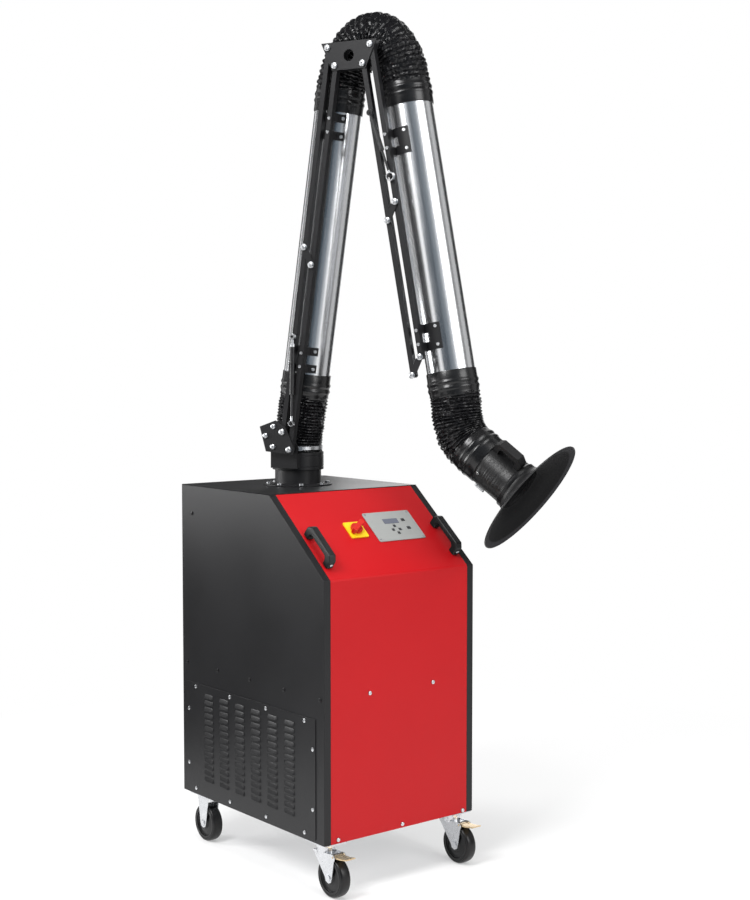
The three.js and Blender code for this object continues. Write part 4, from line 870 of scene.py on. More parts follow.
class EXTRACTOR_OT_vent(bpy.types.Operator):
    """Make the louvred vent panel with its screws"""

    bl_idname = "extractor.vent"
    bl_label = "Vent panel"

    def execute(self, context):
        size = VENT_HIGH - VENT_LOW
        middle = (VENT_LOW + VENT_HIGH) / 2
        back = Vector((VENT_HIGH.x, middle.y, middle.z))
        sheet = rounded_box((size.z / MM, size.y / MM, VENT_SHEET), back, -RIGHT, UP, VENT_ROUND)
        keep(sheet, "louvre_panel_sheet", "cabinet", "black_paint", "black_paint", "louvre_panel")
        face = back - RIGHT * VENT_SHEET * MM
        hood = self.hood()
        made = []
        for column in range(LOUVRE_COLUMNS):
            for row in range(LOUVRE_ROWS):
                across = (column - (LOUVRE_COLUMNS - 1) / 2) * LOUVRE_COLUMN_PITCH * MM
                obj = copy_of(hood)
                obj.location = (face.x, face.y + across, (LOUVRE_LOWEST + row * LOUVRE_ROW_PITCH) * MM)
                made.append(obj)
        discard(hood)
        hoods = joined(made)
        bpy.ops.object.transform_apply()
        keep(hoods, "louvre_hoods", "cabinet", "black_paint", "black_paint", "louvre_panel")
        heads((settings("sizes").screw_head, SCREW_HIGH), self.screws(face), "vent_screws", "cabinet")
        return {"FINISHED"}

    @staticmethod
    def hood():
        """One pressed louvre about the origin: it slopes out to its lower lip, which is open."""
        wide, high, out = LOUVRE_WIDE * MM, LOUVRE_HIGH * MM, LOUVRE_OUT * MM
        obj = added(bpy.ops.mesh.primitive_cube_add, size=1, location=(-out / 2, 0, high / 2))
        obj.scale = (out, wide, high)
        bpy.ops.object.transform_apply()

        def upper_front(edge):
            ends = [obj.data.vertices[index].co for index in edge.vertices]
            return all(end.x < -out / 2 and end.z > high / 2 for end in ends)

        pick(obj, "edges", upper_front)
        bpy.ops.transform.translate(value=(out * LOUVRE_BACK, 0, 0))
        leave()
        pick(obj, "polygons", lambda face: face.normal.x < -LOUVRE_FACING)
        bpy.ops.transform.resize(value=(1, LOUVRE_FACE, 1), center_override=(0, 0, 0))
        bpy.ops.mesh.bevel(offset=LOUVRE_ROUND, segments=3, affect="EDGES")
        leave()
        pick(obj, "polygons", lambda face: face.normal.z < -FACING)
        bpy.ops.mesh.inset(thickness=LIP_WALL)
        bpy.ops.transform.translate(value=(0, 0, high * LIP_DEEP))
        leave()
        smooth(obj, degrees=50)
        return obj

    @staticmethod
    def screws(face):
        """Four screws along the top and the bottom, and two at each side."""
        inset = VENT_SCREW_INSET * MM
        points = []
        for share in VENT_ROW_SHARES:
            y = VENT_LOW.y + (VENT_HIGH.y - VENT_LOW.y) * share
            points += [(y, VENT_LOW.z + inset), (y, VENT_HIGH.z - inset)]
        for share in VENT_SIDE_SHARES:
            z = VENT_LOW.z + (VENT_HIGH.z - VENT_LOW.z) * share
            points += [(VENT_LOW.y + inset, z), (VENT_HIGH.y - inset, z)]
        return [(Vector((face.x, y, z)), -RIGHT) for y, z in points]


KEYPAD_X, KEYPAD_S, KEYPAD_TOP = 92, 196, 3.3
KEYPAD_SCREW = (87, 55)
KEYPAD_SCREW_HEAD = (0.0036, 0.0012)
# The display's middle on the keypad, then its size and rounding
DISPLAY_AT = (-2, 20)
DISPLAY_SIZE, DISPLAY_ROUND = (60, 21, 0.8), 0.3
# The keys' middles on the keypad, their sizes and their rounding
ARROWS, ARROW_SIZE = ((0, -2), (-14, -18), (14, -18), (0, -33)), (10, 10, 1.4)
SIDE_KEYS, SIDE_KEY_SIZE = ((49, 21), (52, -15)), (14, 11, 1.4)
KEY_ROUND = 0.6
SWITCH_PLATE_ROUND, KNOB_ROUND = 0.0012, 0.0022
GRAB_X, GRAB_SCREW_OUT = 254, 16
GRAB_SCREW_HEAD = (0.0055, 0.0026)
GRIP_STEPS = 4


class EXTRACTOR_OT_controls(bpy.types.Operator):
    """Dress the keypad, the main switch and the grab handles"""

    bl_idname = "extractor.controls"
    bl_label = "Controls"

    def execute(self, context):
        dressed("control_panel", "keypad", SMALL_ROUND)
        dressed("switch_plate", "yellow", SWITCH_PLATE_ROUND)
        dressed("switch_knob", "knob_red", KNOB_ROUND, segments=3)
        glass = rounded_box(DISPLAY_SIZE, self.on_keypad(*DISPLAY_AT), SLOPE_OUT, RIGHT, DISPLAY_ROUND)
        keep(glass, "display_glass", "cabinet", "display", "keypad")
        keys = []
        for places, size in ((ARROWS, ARROW_SIZE), (SIDE_KEYS, SIDE_KEY_SIZE)):
            for x, s in places:
                keys.append(rounded_box(size, self.on_keypad(x, s), SLOPE_OUT, RIGHT, KEY_ROUND))
        keep(joined(keys), "keypad_keys", "cabinet", "button", "keypad")
        across, along = KEYPAD_SCREW
        corners = [(self.on_keypad(x, s), SLOPE_OUT) for x in (-across, across) for s in (-along, along)]
        heads(KEYPAD_SCREW_HEAD, corners, "keypad_screws", "cabinet")
        for side, node in ((-1, "grab_handle_left"), (1, "grab_handle_right")):
            dressed(node, "moulded", settings("sizes").grip_round, GRIP_STEPS)
            end = on_face(on_slope(side * GRAB_X, 0, GRAB_SCREW_OUT), node, -SLOPE_UP)
            heads(GRAB_SCREW_HEAD, [(end, -SLOPE_UP)], f"{node}_screw", "cabinet")
        return {"FINISHED"}

    @staticmethod
    def on_keypad(x, s):
        """A point on the keypad's face, from its middle."""
        return on_slope(KEYPAD_X + x, KEYPAD_S + s, KEYPAD_TOP)


# Half of a wheel's section, from the bore out to the tread: radius and distance from its middle
WHEEL_HALF = (
    (6.3, 19.5), (18, 19.5), (20, 18.8), (23, 15.5), (42, 13.2), (44.5, 15), (45.5, 18.5), (51.5, 18.5),
    (52.4, 17.2), (53.6, 17.2), (54.5, 18.5), (57, 18.4), (60, 16.4), (61.8, 12.5), (62.4, 7), (62.5, 0),
)
FRONT_CORNERS, REAR_CORNERS = ("fl", "fr"), ("rl", "rr")
PEDAL_ROUND = 0.0006


class EXTRACTOR_OT_castors(bpy.types.Operator):
    """Dress the forks and pedals, and turn the wheels"""

    bl_idname = "extractor.castors"
    bl_label = "Castors"

    def execute(self, context):
        for corner in (*FRONT_CORNERS, *REAR_CORNERS):
            dressed(f"castor_fork_{corner}", "zinc", SMALL_ROUND)
        for corner in FRONT_CORNERS:
            dressed(f"castor_plate_{corner}", "zinc", SMALL_ROUND)
        for corner in FRONT_CORNERS:
            dressed(f"brake_pedal_{corner}", "yellow_zinc", PEDAL_ROUND)
        profile = [*((radius, -at) for radius, at in WHEEL_HALF), *reversed(WHEEL_HALF[:-1])]
        for corner in (*FRONT_CORNERS, *REAR_CORNERS):
            centre = pivot(f"wheel_roll_{corner}")
            turned(f"wheel_{corner}", "wheel_rubber", profile, centre, RIGHT, steps=72)
        return {"FINISHED"}


DUCT_RADIUS, DUCT_WALL = 77.5, 1.5
DUCT_BORE = DUCT_RADIUS - DUCT_WALL
# How much an end of a tube is eased: in from its outside and back from its end
TUBE_EASE = (0.4, 0.6)
TUBES = (("lower_tube", LOWER_TUBE, "along_lower"), ("outer_tube", OUTER_TUBE, "along_outer"))
FLANGE_SHEET = 4
# Sections of the flange and of the collar that turns on it: radius and height
FLANGE_SECTION = (
    (DUCT_BORE, 0), (113.9, 0), (114.5, 0.6), (114.5, 3.2), (113.7, FLANGE_SHEET),
    (DUCT_RADIUS + 2, FLANGE_SHEET), (DUCT_RADIUS, FLANGE_SHEET + 2), (DUCT_RADIUS, FLANGE.length - 1),
    (DUCT_BORE, FLANGE.length),
)
COLLAR_SECTION = (
    (78.5, 0), (84.8, 0), (86, 1.2), (86, 9), (85.2, 10), (85.2, 11.5), (86, 12.5), (86, 46), (85.2, 47),
    (85.2, 48.5), (86, 49.5), (86, 57.5), (84.8, 59), (77, 59), (77, COLLAR.length), (76, COLLAR.length),
    (76, 53), (78.5, 53),
)
# How many bolts the flange has, the radius of their ring, and how far the first is turned, in steps
FLANGE_BOLTS, FLANGE_BOLT_RING, FLANGE_BOLT_FIRST = 8, 99, 0.35
FLANGE_BOLT_HEAD = (0.0078, 0.0045)
# Bolts of the front base plate: how far ahead of the lower arm's pivot and over it
BASE_BOLTS = ((-59, 76), (-89, 45), (-61, 9))
BASE_BOLT_HEAD = (0.0092, 0.0046, 0.35)
PIVOT_HIGH, PIVOT_SOCKET, PIVOT_SIDES = 0.005, 0.35, 24
PLATES = (
    "base_plate_front", "base_plate_rear", "elbow_plate_front", "elbow_plate_rear",
    "lower_main_bar", "lower_parallel_bar", "outer_main_bar", "outer_parallel_bar",
    "lower_link", "outer_link_mid", "outer_link_end",
)
# The tube that each bracket holds
BRACKETS = {
    "lower_bracket_low": LOWER_TUBE,
    "lower_bracket_top": LOWER_TUBE,
    "outer_bracket_top": OUTER_TUBE,
    "outer_bracket_low": OUTER_TUBE,
}
BRACKET_SHEET = 2.8
BRACKET_BOLT_HEAD = (0.0055, 0.003)
BRACKET_BOLT_ANGLE, BRACKET_BOLT_RISE = 25, 29
BAR_BOLT_RISE = 22
BARS = {"lower_arm": ("lower_main_bar", "lower_arm_tilt"), "outer_arm": ("outer_main_bar", "outer_arm_tilt")}


class EXTRACTOR_OT_arm(bpy.types.Operator):
    """Dress the arm's base, bars and plates, turn its tubes and set its bolts"""

    bl_idname = "extractor.arm"
    bl_label = "Arm"

    def execute(self, context):
        sizes = settings("sizes")
        self.base()
        for node in (*PLATES, *BRACKETS):
            dressed(node, "black_paint", sizes.plate_round)
        edge, back = TUBE_EASE
        for node, tube, finish in TUBES:
            end = tube.length
            profile = (
                (DUCT_BORE, 0), (DUCT_RADIUS - edge, 0), (DUCT_RADIUS, back), (DUCT_RADIUS, end - back),
                (DUCT_RADIUS - edge, end), (DUCT_BORE, end),
            )
            turned(node, finish, profile, tube.start, tube.way, steps=96)
        self.pivots(sizes)
        self.bracket_bolts()
        return {"FINISHED"}

    @staticmethod
    def base():
        """The fixed flange with its bolts, and the collar that turns on it."""
        turned("arm_flange", "black_paint", FLANGE_SECTION, FLANGE.start, UP, steps=80)
        turned("base_collar", "black_paint", COLLAR_SECTION, COLLAR.start, UP, steps=80)
        places = []
        for index in range(FLANGE_BOLTS):
            angle = 2 * math.pi * (index + FLANGE_BOLT_FIRST) / FLANGE_BOLTS
            out = Vector((math.cos(angle), math.sin(angle), 0)) * FLANGE_BOLT_RING * MM
            places.append((FLANGE.at(FLANGE_SHEET) + out, UP))
        heads(FLANGE_BOLT_HEAD, places, "flange_bolts", "cabinet")

    @staticmethod
    def pivots(sizes):
        """Domed heads on the front plates and links, at their pivots and bolts."""
        lower, elbow, outer = pivot("lower_arm_tilt"), pivot("elbow_level"), pivot("outer_arm_tilt")
        lower_offset = pivot("lower_rail_tilt") - lower
        outer_offset = pivot("outer_rail_tilt") - outer
        strut = pivot("lower_strut_turn")
        mid, end = pivot("outer_strut_mid_turn"), pivot("outer_strut_end_turn")
        groups = {
            "base_plate_front": [lower, lower + lower_offset],
            "elbow_plate_front": [elbow, elbow + lower_offset, outer, outer + outer_offset],
            "lower_link": [strut, strut + lower_offset],
            "outer_link_mid": [mid, mid + outer_offset],
            "outer_link_end": [end, end + outer_offset],
        }
        head = (sizes.pivot_head, PIVOT_HIGH, PIVOT_SOCKET, PIVOT_SIDES)
        for node, points in groups.items():
            places = [(on_face(point, node, TO_LINKAGE), TO_LINKAGE) for point in points]
            heads(head, places, f"{node}_heads", BODY[node])
        points = [lower + (AHEAD * x + UP * z) * MM for x, z in BASE_BOLTS]
        places = [(on_face(point, "base_plate_front", TO_LINKAGE), TO_LINKAGE) for point in points]
        heads(BASE_BOLT_HEAD, places, "base_plate_bolts", "arm_base")

    @staticmethod
    def bracket_bolts():
        """Four bolts through each tube bracket's saddle, and two through the bar beside it."""
        for node, tube in BRACKETS.items():
            low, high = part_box(node)
            middle = ((low + high) / 2 - tube.start).dot(tube.way)
            facing = ((low + high) / 2 - tube.start - tube.way * middle).normalized()
            places = []
            for angle in (-BRACKET_BOLT_ANGLE, BRACKET_BOLT_ANGLE):
                out = Matrix.Rotation(math.radians(angle), 3, tube.way) @ facing
                for rise in (-BRACKET_BOLT_RISE, BRACKET_BOLT_RISE):
                    point = tube.start + tube.way * (middle + rise * MM)
                    places.append((point + out * (DUCT_RADIUS + BRACKET_SHEET) * MM, out))
            heads(BRACKET_BOLT_HEAD, places, f"{node}_bolts", BODY[node])
            bar, joint = BARS[BODY[node]]
            along = tube.start + tube.way * middle
            centre = pivot(joint) + tube.way * (along - pivot(joint)).dot(tube.way)
            places = []
            for rise in (-BAR_BOLT_RISE, BAR_BOLT_RISE):
                places.append((on_surface(centre + tube.way * rise * MM, bar, TO_LINKAGE), TO_LINKAGE))
            heads(BRACKET_BOLT_HEAD, places, f"{node}_bar_bolts", BODY[node])


ROD_ROUND = 0.0004


class EXTRACTOR_OT_springs(bpy.types.Operator):
    """Dress the gas springs"""

    bl_idname = "extractor.springs"
    bl_label = "Gas springs"

    def execute(self, context):
        for arm in ARMS:
            dressed(f"{arm}_gas_cylinder", "spring", SMALL_ROUND)
            dressed(f"{arm}_gas_rod", "spring", ROD_ROUND)
        return {"FINISHED"}


CUFF_LENGTH, CUFF_BORE = 82, 77.6
# How much of a cuff lies over its tube, and how far the hood's cuff stands past its neck
CUFF_OVER, HOOD_CUFF_PAST = 58, 3
# A cuff's outer outline from its open edge: radius and distance
CUFF_OUTLINE = (
    (78.2, 0), (79.8, 0.6), (80.6, 2), (80.6, 26), (81.4, 30), (83.4, 34), (83.6, 37), (82.2, 41),
    (80.4, 45), (81.6, 50), (83.5, 54), (83.5, 57), (82, 61), (80.2, 66), (80.0, 72), (79.2, 78),
    (78.0, CUFF_LENGTH),
)
# How far the base hose reaches down over the collar
HOSE_FOOT = 24
# How strongly each hose leaves and arrives in line with its tubes, as shares of the way across
BASE_BEND, ELBOW_BEND, HOOD_BEND = (0.34, 0.34), (0.80, 1.06), (0.36, 0.36)
# One rib, as shares of its height and of its pitch
RIB = ((0, 0), (0.55, 0.2), (1, 0.42), (0.94, 0.6), (0.5, 0.82))
FEWEST_RIBS = 3
HOSE_WALL = 0.0015
PATH_STEPS = 64
# Size and fineness of the creases
CREASE_SCALE, CREASE_DEPTH = 0.028, 3
# The band clamp's section as radius and height, and its height over the hose's foot
CLAMP_BAND = ((81.8, 0), (82.8, 0), (83.3, 0.6), (83.3, 11.4), (82.8, 12), (81.8, 12))
CLAMP_HEIGHT = 8
# The clamp's screw block: its size and rounding, how far out and up it sits, and how much it faces ahead
CLAMP_BLOCK, CLAMP_BLOCK_ROUND = (26, 15, 9), 1.5
CLAMP_BLOCK_OUT, CLAMP_BLOCK_UP, CLAMP_BLOCK_AHEAD = 82.6, 6, 0.6


class EXTRACTOR_OT_hoses(bpy.types.Operator):
    """Make the crinkled hoses and their cuffs"""

    bl_idname = "extractor.hoses"
    bl_label = "Hoses"

    def execute(self, context):
        sizes = settings("sizes")
        over = CUFF_OVER * MM
        self.cuff("lower_cuff_low", "lower_arm", LOWER_TUBE.start + LOWER_WAY * over, -LOWER_WAY)
        self.cuff("lower_cuff_top", "lower_arm", LOWER_TUBE.end - LOWER_WAY * over, LOWER_WAY)
        self.cuff("outer_cuff_top", "outer_arm", OUTER_TUBE.start + OUTER_WAY * over, -OUTER_WAY)
        self.cuff("outer_cuff_low", "outer_arm", OUTER_TUBE.end - OUTER_WAY * over, OUTER_WAY)
        self.cuff("hood_cuff", "hood", HOOD_NECK.at(CUFF_LENGTH - HOOD_CUFF_PAST), -HOOD_WAY)

        # A hose starts in the middle of the part of a cuff that stands past its tube
        past = (CUFF_LENGTH - CUFF_OVER) * MM / 2
        first = COLLAR.end - UP * HOSE_FOOT * MM
        base = self.bend(first, UP, LOWER_TUBE.start - LOWER_WAY * past, LOWER_WAY, *BASE_BEND)
        piece = self.hose("base_hose_ribs", base, "base_hose", sizes.rib_pitch)
        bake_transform(piece)

        first = LOWER_TUBE.end + LOWER_WAY * past
        last = OUTER_TUBE.start - OUTER_WAY * past
        rise, fall = self.halves(self.bend(first, LOWER_WAY, last, OUTER_WAY, *ELBOW_BEND))
        piece = self.hose("elbow_hose_rise", rise, "elbow_hose", sizes.stretched_pitch)
        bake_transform(piece)
        piece = self.hose("elbow_hose_fall", fall, "elbow_hose", sizes.stretched_pitch)
        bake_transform(piece)

        first = OUTER_TUBE.end + OUTER_WAY * past
        upper, lower = self.halves(self.bend(first, OUTER_WAY, HOOD_NECK.start, HOOD_WAY, *HOOD_BEND))
        piece = self.hose("hood_hose_upper", upper, "hood_hose", sizes.rib_pitch)
        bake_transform(piece)
        piece = self.hose("hood_hose_lower", lower, "hood_hose", sizes.rib_pitch)
        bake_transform(piece)
        self.clamp()
        return {"FINISHED"}

    @staticmethod
    def bend(start, out, end, into, leaving, arriving):
        """The four points of a curve that leaves one point and arrives at another along given directions."""
        across = (end - start).length
        return start, start + out * across * leaving, end - into * across * arriving, end

    @staticmethod
    def halves(curve):
        """A curve split in its middle into two curves."""
        a, b, c, d = curve
        ab, bc, cd = (a + b) / 2, (b + c) / 2, (c + d) / 2
        abc, bcd = (ab + bc) / 2, (bc + cd) / 2
        middle = (abc + bcd) / 2
        return (a, ab, abc, middle), (middle, bcd, cd, d)

    @staticmethod
    def cuff(name, body, edge, way):
        """A rubber cuff with two beads, from its open edge on the tube."""
        profile = (*CUFF_OUTLINE, (CUFF_BORE, CUFF_LENGTH), (CUFF_BORE, 0))
        keep(spun(profile, edge, way, steps=72), name, body, "cuff", "hose")

    @staticmethod
    def path(curve):
        """A curve object through the four points of a bend."""
        obj = added(bpy.ops.curve.primitive_bezier_curve_add, location=(0, 0, 0))
        obj.data.resolution_u = PATH_STEPS
        first, last = obj.data.splines[0].bezier_points
        for point in (first, last):
            point.handle_left_type = point.handle_right_type = "FREE"
        a, b, c, d = curve
        first.co, first.handle_right, first.handle_left = a, b, a * 2 - b
        last.co, last.handle_left, last.handle_right = d, c, d * 2 - c
        return obj

    def hose(self, name, curve, node, pitch):
        """A ribbed tube bent along a curve, crinkled and given its wall."""
        sizes = settings("sizes")
        path = self.path(curve)
        long = path.data.splines[0].calc_length() / MM
        count = max(FEWEST_RIBS, round(long * MM / pitch))
        pitch = long / count
        low, high = sizes.rib_valley / MM, sizes.rib_crest / MM
        profile = []
        for rib in range(count):
            profile += [(low + (high - low) * rise, (rib + share) * pitch) for rise, share in RIB]
        profile.append((low, long))
        obj = spun(profile, Vector(), UP, steps=96, closed=False)
        modify(obj, "CURVE", object=path, deform_axis="POS_Z")
        discard(path)
        edit(obj)
        bpy.ops.mesh.normals_make_consistent(inside=False)
        leave()
        creases = {"texture": self.creases(), "texture_coords": "LOCAL"}
        modify(obj, "DISPLACE", strength=sizes.crinkle, mid_level=0.5, **creases)
        modify(obj, "SOLIDIFY", thickness=HOSE_WALL, offset=-1)
        smooth(obj, degrees=60)
        return keep(obj, name, None, "hose", "hose", node)

    @staticmethod
    def creases():
        """Uneven dents in the hose's skin."""
        texture = bpy.data.textures.get("creases")
        if texture is None:
            texture = bpy.data.textures.new("creases", "CLOUDS")
            texture.noise_scale = CREASE_SCALE
            texture.noise_depth = CREASE_DEPTH
        return texture

    @staticmethod
    def clamp():
        """A bright worm-drive band at the foot of the base hose."""
        start = COLLAR.end - UP * (HOSE_FOOT - CLAMP_HEIGHT) * MM
        ring = spun(CLAMP_BAND, start, UP, steps=72)
        out = (TO_LINKAGE + AHEAD * CLAMP_BLOCK_AHEAD).normalized()
        foot = start + (out * CLAMP_BLOCK_OUT + UP * CLAMP_BLOCK_UP) * MM
        block = rounded_box(CLAMP_BLOCK, foot, out, UP.cross(out), CLAMP_BLOCK_ROUND)
        keep(joined([ring, block]), "base_hose_clamp", "arm_base", "zinc", "zinc")


# The neck's outline: radius and distance from its start, then radius and distance from its end
NECK_START = ((76, 0), (77.2, 0), (77.5, 0.5))
NECK_END = (
    (77.5, 20), (78, 18.6), (82, 15), (83, 13.5), (83, 3), (82.4, 2), (82.4, 1), (83, 0.3),
    (82.6, 0), (76, 0),
)
# The bell's section from its root to its rim and back inside: radius and distance
BELL_OUTER = (
    (84, 0), (85, 4), (88, 9), (94, 14), (106, 20), (122, 26), (142, 31.5), (160, 36.5), (177, 42),
    (192, 46.5), (203, 49.2), (206.4, 50.6), (207, 52), (206.4, 53.6), (205, 54),
)
BELL_INNER = (
    (203, 53.4), (190, 49.4), (175, 45), (158, 39.6), (140, 34.6), (120, 29), (104, 23), (92, 17),
    (84, 11.5), (76, 9), (76, 0),
)
# The gap between the bell and the dark sheet of painted shade inside it, and the sheet's thickness
SHADE_SHEET_OFF, SHADE_SHEET_THICK = 0.2, 0.8
DAMPER_AXIS = Vector(JOINTS["damper_turn"]["axis"]).normalized()
# How far the damper's screw is turned off the damper's axis towards the linkage, in degrees
DAMPER_SCREW_TURN = 68
DAMPER_SCREW_HEAD = (0.0048, 0.0026)


class EXTRACTOR_OT_hood(bpy.types.Operator):
    """Turn the hood's neck and bell, and dress its handle and damper"""

    bl_idname = "extractor.hood"
    bl_label = "Hood"

    def execute(self, context):
        neck = [*NECK_START, *((radius, HOOD_NECK.length - back) for radius, back in NECK_END)]
        turned("hood_neck", "grooved", neck, HOOD_NECK.start, HOOD_WAY, steps=80)
        bell = (*BELL_OUTER, *BELL_INNER)
        turned("hood_bell", "moulded", bell, HOOD_BELL.start, HOOD_WAY, steps=112)
        # A dark sheet of painted shade inside the bell's mouth, paler along its rim as painted light
        face = [(radius, at + SHADE_SHEET_OFF + SHADE_SHEET_THICK) for radius, at in BELL_INNER[:-1]]
        back = [(radius, at - SHADE_SHEET_THICK) for radius, at in reversed(face)]
        skin = spun((*face, *back), HOOD_BELL.start, HOOD_WAY, steps=112)
        keep(skin, "hood_bell_lining", "hood", "lining", "moulded")
        turn = math.radians(DAMPER_SCREW_TURN)
        out = (TO_LINKAGE * math.sin(turn) - DAMPER_AXIS * math.cos(turn)).normalized()
        at = HOOD_NECK.start + HOOD_WAY * (pivot("damper_turn") - HOOD_NECK.start).dot(HOOD_WAY)
        heads(DAMPER_SCREW_HEAD, [(at + out * DUCT_RADIUS * MM, out)], "damper_screw", "hood")
        dressed("hood_handle", "moulded", settings("sizes").grip_round, GRIP_STEPS)
        dressed("damper", "zinc", SMALL_ROUND)
        return {"FINISHED"}


# Pieces that stay as the frame has them, and their finishes
INSIDE = {
    "base_pan": "zinc",
    "filter_shelf": "zinc",
    "filter_cartridge": "paper",
    "fan_housing": "zinc",
    "fan_motor": "cast",
    "fan_impeller": "cast",
    "hood_joint": "zinc",
}


class EXTRACTOR_OT_inside(bpy.types.Operator):
    """Give the pieces inside the cabinet and the hood's joint their finishes"""

    bl_idname = "extractor.inside"
    bl_label = "Inside"

    def execute(self, context):
        for node, finish in INSIDE.items():
            mesh = frame["nodes"][node].data
            mesh.materials.clear()
            mesh.materials.append(finished(finish))
        return {"FINISHED"}


FLOOR_RADIUS, FLOOR_GREY = 14, 0.93
# The floor turns into the room's white between two distances from the middle, from this share of it on
FLOOR_FADE, FLOOR_FADE_START = (1.1, 2.6), 0.35
SENSOR_HIGH = 36
# Each lamp: its turn off the camera's side and its rise in degrees, how far away and how large it is in
# metres, and the setting that holds its power
LIGHTS = {
    "key": (-38, 40, 5.0, 2.0, "key_power"),
    "fill": (48, 22, 5.0, 3.0, "fill_power"),
    "top": (0, 82, 4.2, 2.6, "fill_power"),
    "side": (-100, 9, 4.0, 1.5, "side_power"),
    "back": (-170, 15, 4.5, 3.2, "back_power"),
}
LIT_HEIGHT = 1.3
# Upright cards that only reflections see: from and to which turn off the camera's side, how far away,
# from and to which height, their grey and how much more blue than red they show
CARDS = (
    (-130, -76, 1.7, 0.0, 0.95, 0.015, 1.0),
    (-128, -90, 1.7, 1.6, 3.2, 0.04, 1.0),
    (-66, -50, 3.4, 0.0, 5.0, 0.012, 1.0),
    (-33, 2, 3.4, 0.0, 5.0, 0.05, 1.7),
    (2, 24, 3.4, 0.0, 5.0, 0.16, 1.35),
    (24, 38, 3.4, 0.0, 5.0, 0.42, 1.1),
    (72, 87, 3.4, 0.0, 5.0, 0.12, 1.0),
    (87, 112, 3.4, 0.0, 5.0, 0.55, 1.0),
    (114, 150, 3.4, 0.0, 5.0, 0.035, 1.0),
    (-176, -140, 3.4, 0.0, 5.0, 0.03, 1.0),
)
CEILING_HIGH, CEILING_WIDE, CEILING_GREY = 5.2, 6.0, 0.03
WHITE = (1, 1, 1, 1)


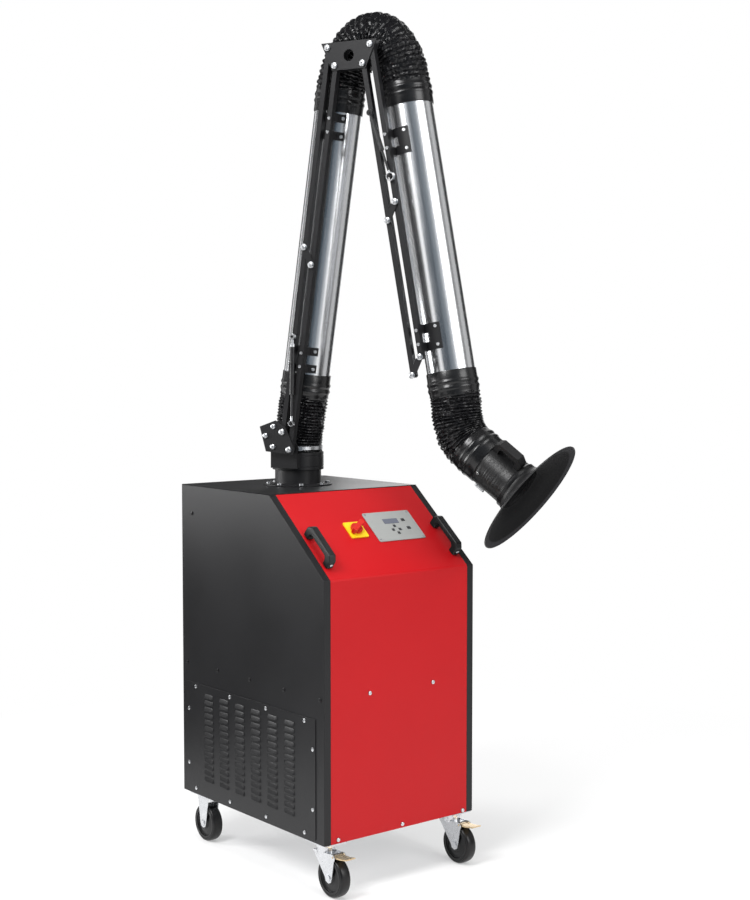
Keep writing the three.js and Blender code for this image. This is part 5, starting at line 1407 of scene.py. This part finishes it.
class EXTRACTOR_OT_stage(bpy.types.Operator):
    """Set the floor, the room, the lights and the camera"""

    bl_idname = "extractor.stage"
    bl_label = "Stage"

    def execute(self, context):
        stage = settings("stage")
        context.scene.view_settings.view_transform = "Standard"
        self.camera(context, stage)
        self.room(context, stage)
        self.floor()
        self.lights(stage)
        self.cards(stage)
        return {"FINISHED"}

    @staticmethod
    def camera(context, stage):
        """The camera at the photograph's place."""
        obj = added(bpy.ops.object.camera_add)
        obj.location = CABINET + Vector((stage.camera_x, stage.camera_y, stage.camera_z))
        obj.rotation_euler = (math.pi / 2 + stage.camera_pitch, 0, -stage.camera_yaw)
        obj.data.sensor_fit = "VERTICAL"
        obj.data.sensor_height = SENSOR_HIGH
        obj.data.lens = stage.lens
        context.scene.camera = obj

    @staticmethod
    def seen(nodes):
        """1 for rays that show the background: to the camera, in gloss and through glass."""
        share = nodes.node("ShaderNodeLightPath", output="Is Camera Ray")
        for ray in ("Is Glossy Ray", "Is Transmission Ray"):
            share = nodes.math("MAXIMUM", share, nodes.node("ShaderNodeLightPath", output=ray))
        return share

    def room(self, context, stage):
        """A white room that is bright to the eye and softer on the object."""
        world = bpy.data.worlds.new("white_room")
        context.scene.world = world
        world.use_nodes = True
        nodes = Nodes(world.node_tree)
        strength = stage.ambient + self.seen(nodes) * (1 - stage.ambient)
        nodes.feed(world.node_tree.nodes["Background"], {"Color": WHITE, "Strength": strength})

    def floor(self):
        """A white floor that keeps the shadow near the object and fades into the room."""
        obj = added(bpy.ops.mesh.primitive_circle_add, vertices=64, radius=FLOOR_RADIUS, fill_type="NGON")
        obj.name = "floor"
        made, nodes = new_material("floor_white")
        fade = nodes.slide(nodes.distance(Vector()), *FLOOR_FADE, FLOOR_FADE_START)
        white = nodes.node("ShaderNodeBsdfDiffuse", None, {"Color": rgba(WHITE[:3], FLOOR_GREY)})
        glow = nodes.node("ShaderNodeEmission", None, {"Color": WHITE, "Strength": 1.0})
        both = nodes.node("ShaderNodeMixShader", None, {0: fade * self.seen(nodes), 1: white, 2: glow})
        nodes.feed(made.node_tree.nodes["Material Output"], {"Surface": both})
        obj.data.materials.append(made)

    @staticmethod
    def toward(stage, turn, rise=0):
        """The direction at a turn off the camera's side and a rise, in degrees."""
        heading = math.radians(turn) - stage.camera_yaw
        flat = math.cos(math.radians(rise))
        return Vector((math.sin(heading) * flat, -math.cos(heading) * flat, math.sin(math.radians(rise))))

    def lights(self, stage):
        """A large key, a fill, a soft top light, one at the vent's side and a weak one behind."""
        for name, (turn, rise, away, size, power) in LIGHTS.items():
            way = self.toward(stage, turn, rise)
            lamp = added(bpy.ops.object.light_add, type="AREA")
            lamp.name = name
            lamp.data.energy = getattr(stage, power)
            lamp.data.size = size
            lamp.location = UP * LIT_HEIGHT + way * away
            lamp.rotation_euler = turn_to(way).to_euler()

    def cards(self, stage):
        """Tall grey cards that draw the streaks on polished tubes, and a dark one overhead."""
        for index, (first, last, away, low, high, grey, blue) in enumerate(CARDS):
            way = self.toward(stage, (first + last) / 2)
            wide = 2 * away * math.tan(math.radians(last - first) / 2)
            middle = way * away + UP * (low + high) / 2
            self.card(f"card_{index}", middle, way, wide, high - low, grey, blue)
        self.card("card_overhead", UP * CEILING_HIGH, UP, CEILING_WIDE, CEILING_WIDE, CEILING_GREY, 1)

    @staticmethod
    def card(name, location, way, wide, high, grey, blue):
        """A flat card that faces the object from a direction and shows in reflections alone."""
        card = added(bpy.ops.mesh.primitive_plane_add, size=1)
        card.name = name
        card.scale = (wide, high, 1)
        card.location = location
        card.rotation_euler = turn_to(way).to_euler()
        made, nodes = new_material(name)
        nodes.feed(made.node_tree.nodes["Principled BSDF"], {
            "Base Color": (0, 0, 0, 1),
            "Specular IOR Level": 0.0,
            "Emission Color": (grey, grey * (1 + blue) / 2, grey * blue, 1),
            "Emission Strength": 1.0,
        })
        card.data.materials.append(made)
        for ray in ("camera", "diffuse", "shadow", "transmission"):
            setattr(card, f"visible_{ray}", False)


class EXTRACTOR_PT_panel(bpy.types.Panel):
    """Lists the steps of the dressing"""

    bl_idname = "EXTRACTOR_PT_panel"
    bl_label = "Fume extractor"
    bl_space_type = "VIEW_3D"
    bl_region_type = "UI"
    bl_category = "Extractor"

    def draw(self, context):
        for step in STEPS:
            self.layout.operator(step.bl_idname)
        for group in GROUPS:
            values = settings(group)
            for key in values.__annotations__:
                self.layout.prop(values, key)


STEPS = (
    EXTRACTOR_OT_cabinet,
    EXTRACTOR_OT_vent,
    EXTRACTOR_OT_controls,
    EXTRACTOR_OT_castors,
    EXTRACTOR_OT_arm,
    EXTRACTOR_OT_springs,
    EXTRACTOR_OT_hoses,
    EXTRACTOR_OT_hood,
    EXTRACTOR_OT_inside,
    EXTRACTOR_OT_stage,
)
GROUPS = {"colours": ExtractorColours, "sizes": ExtractorSizes, "stage": ExtractorStage}


def register():
    for group, kind in GROUPS.items():
        bpy.utils.register_class(kind)
        setattr(bpy.types.Scene, f"extractor_{group}", PointerProperty(type=kind))
    for step in STEPS:
        bpy.utils.register_class(step)
    bpy.utils.register_class(EXTRACTOR_PT_panel)


def unregister():
    bpy.utils.unregister_class(EXTRACTOR_PT_panel)
    for step in reversed(STEPS):
        bpy.utils.unregister_class(step)
    for group, kind in GROUPS.items():
        delattr(bpy.types.Scene, f"extractor_{group}")
        bpy.utils.unregister_class(kind)


def main():
    """Runs every step."""
    register()
    for step in STEPS:
        family, name = step.bl_idname.split(".")
        getattr(getattr(bpy.ops, family), name)()


if __name__ == "__main__":
    main()
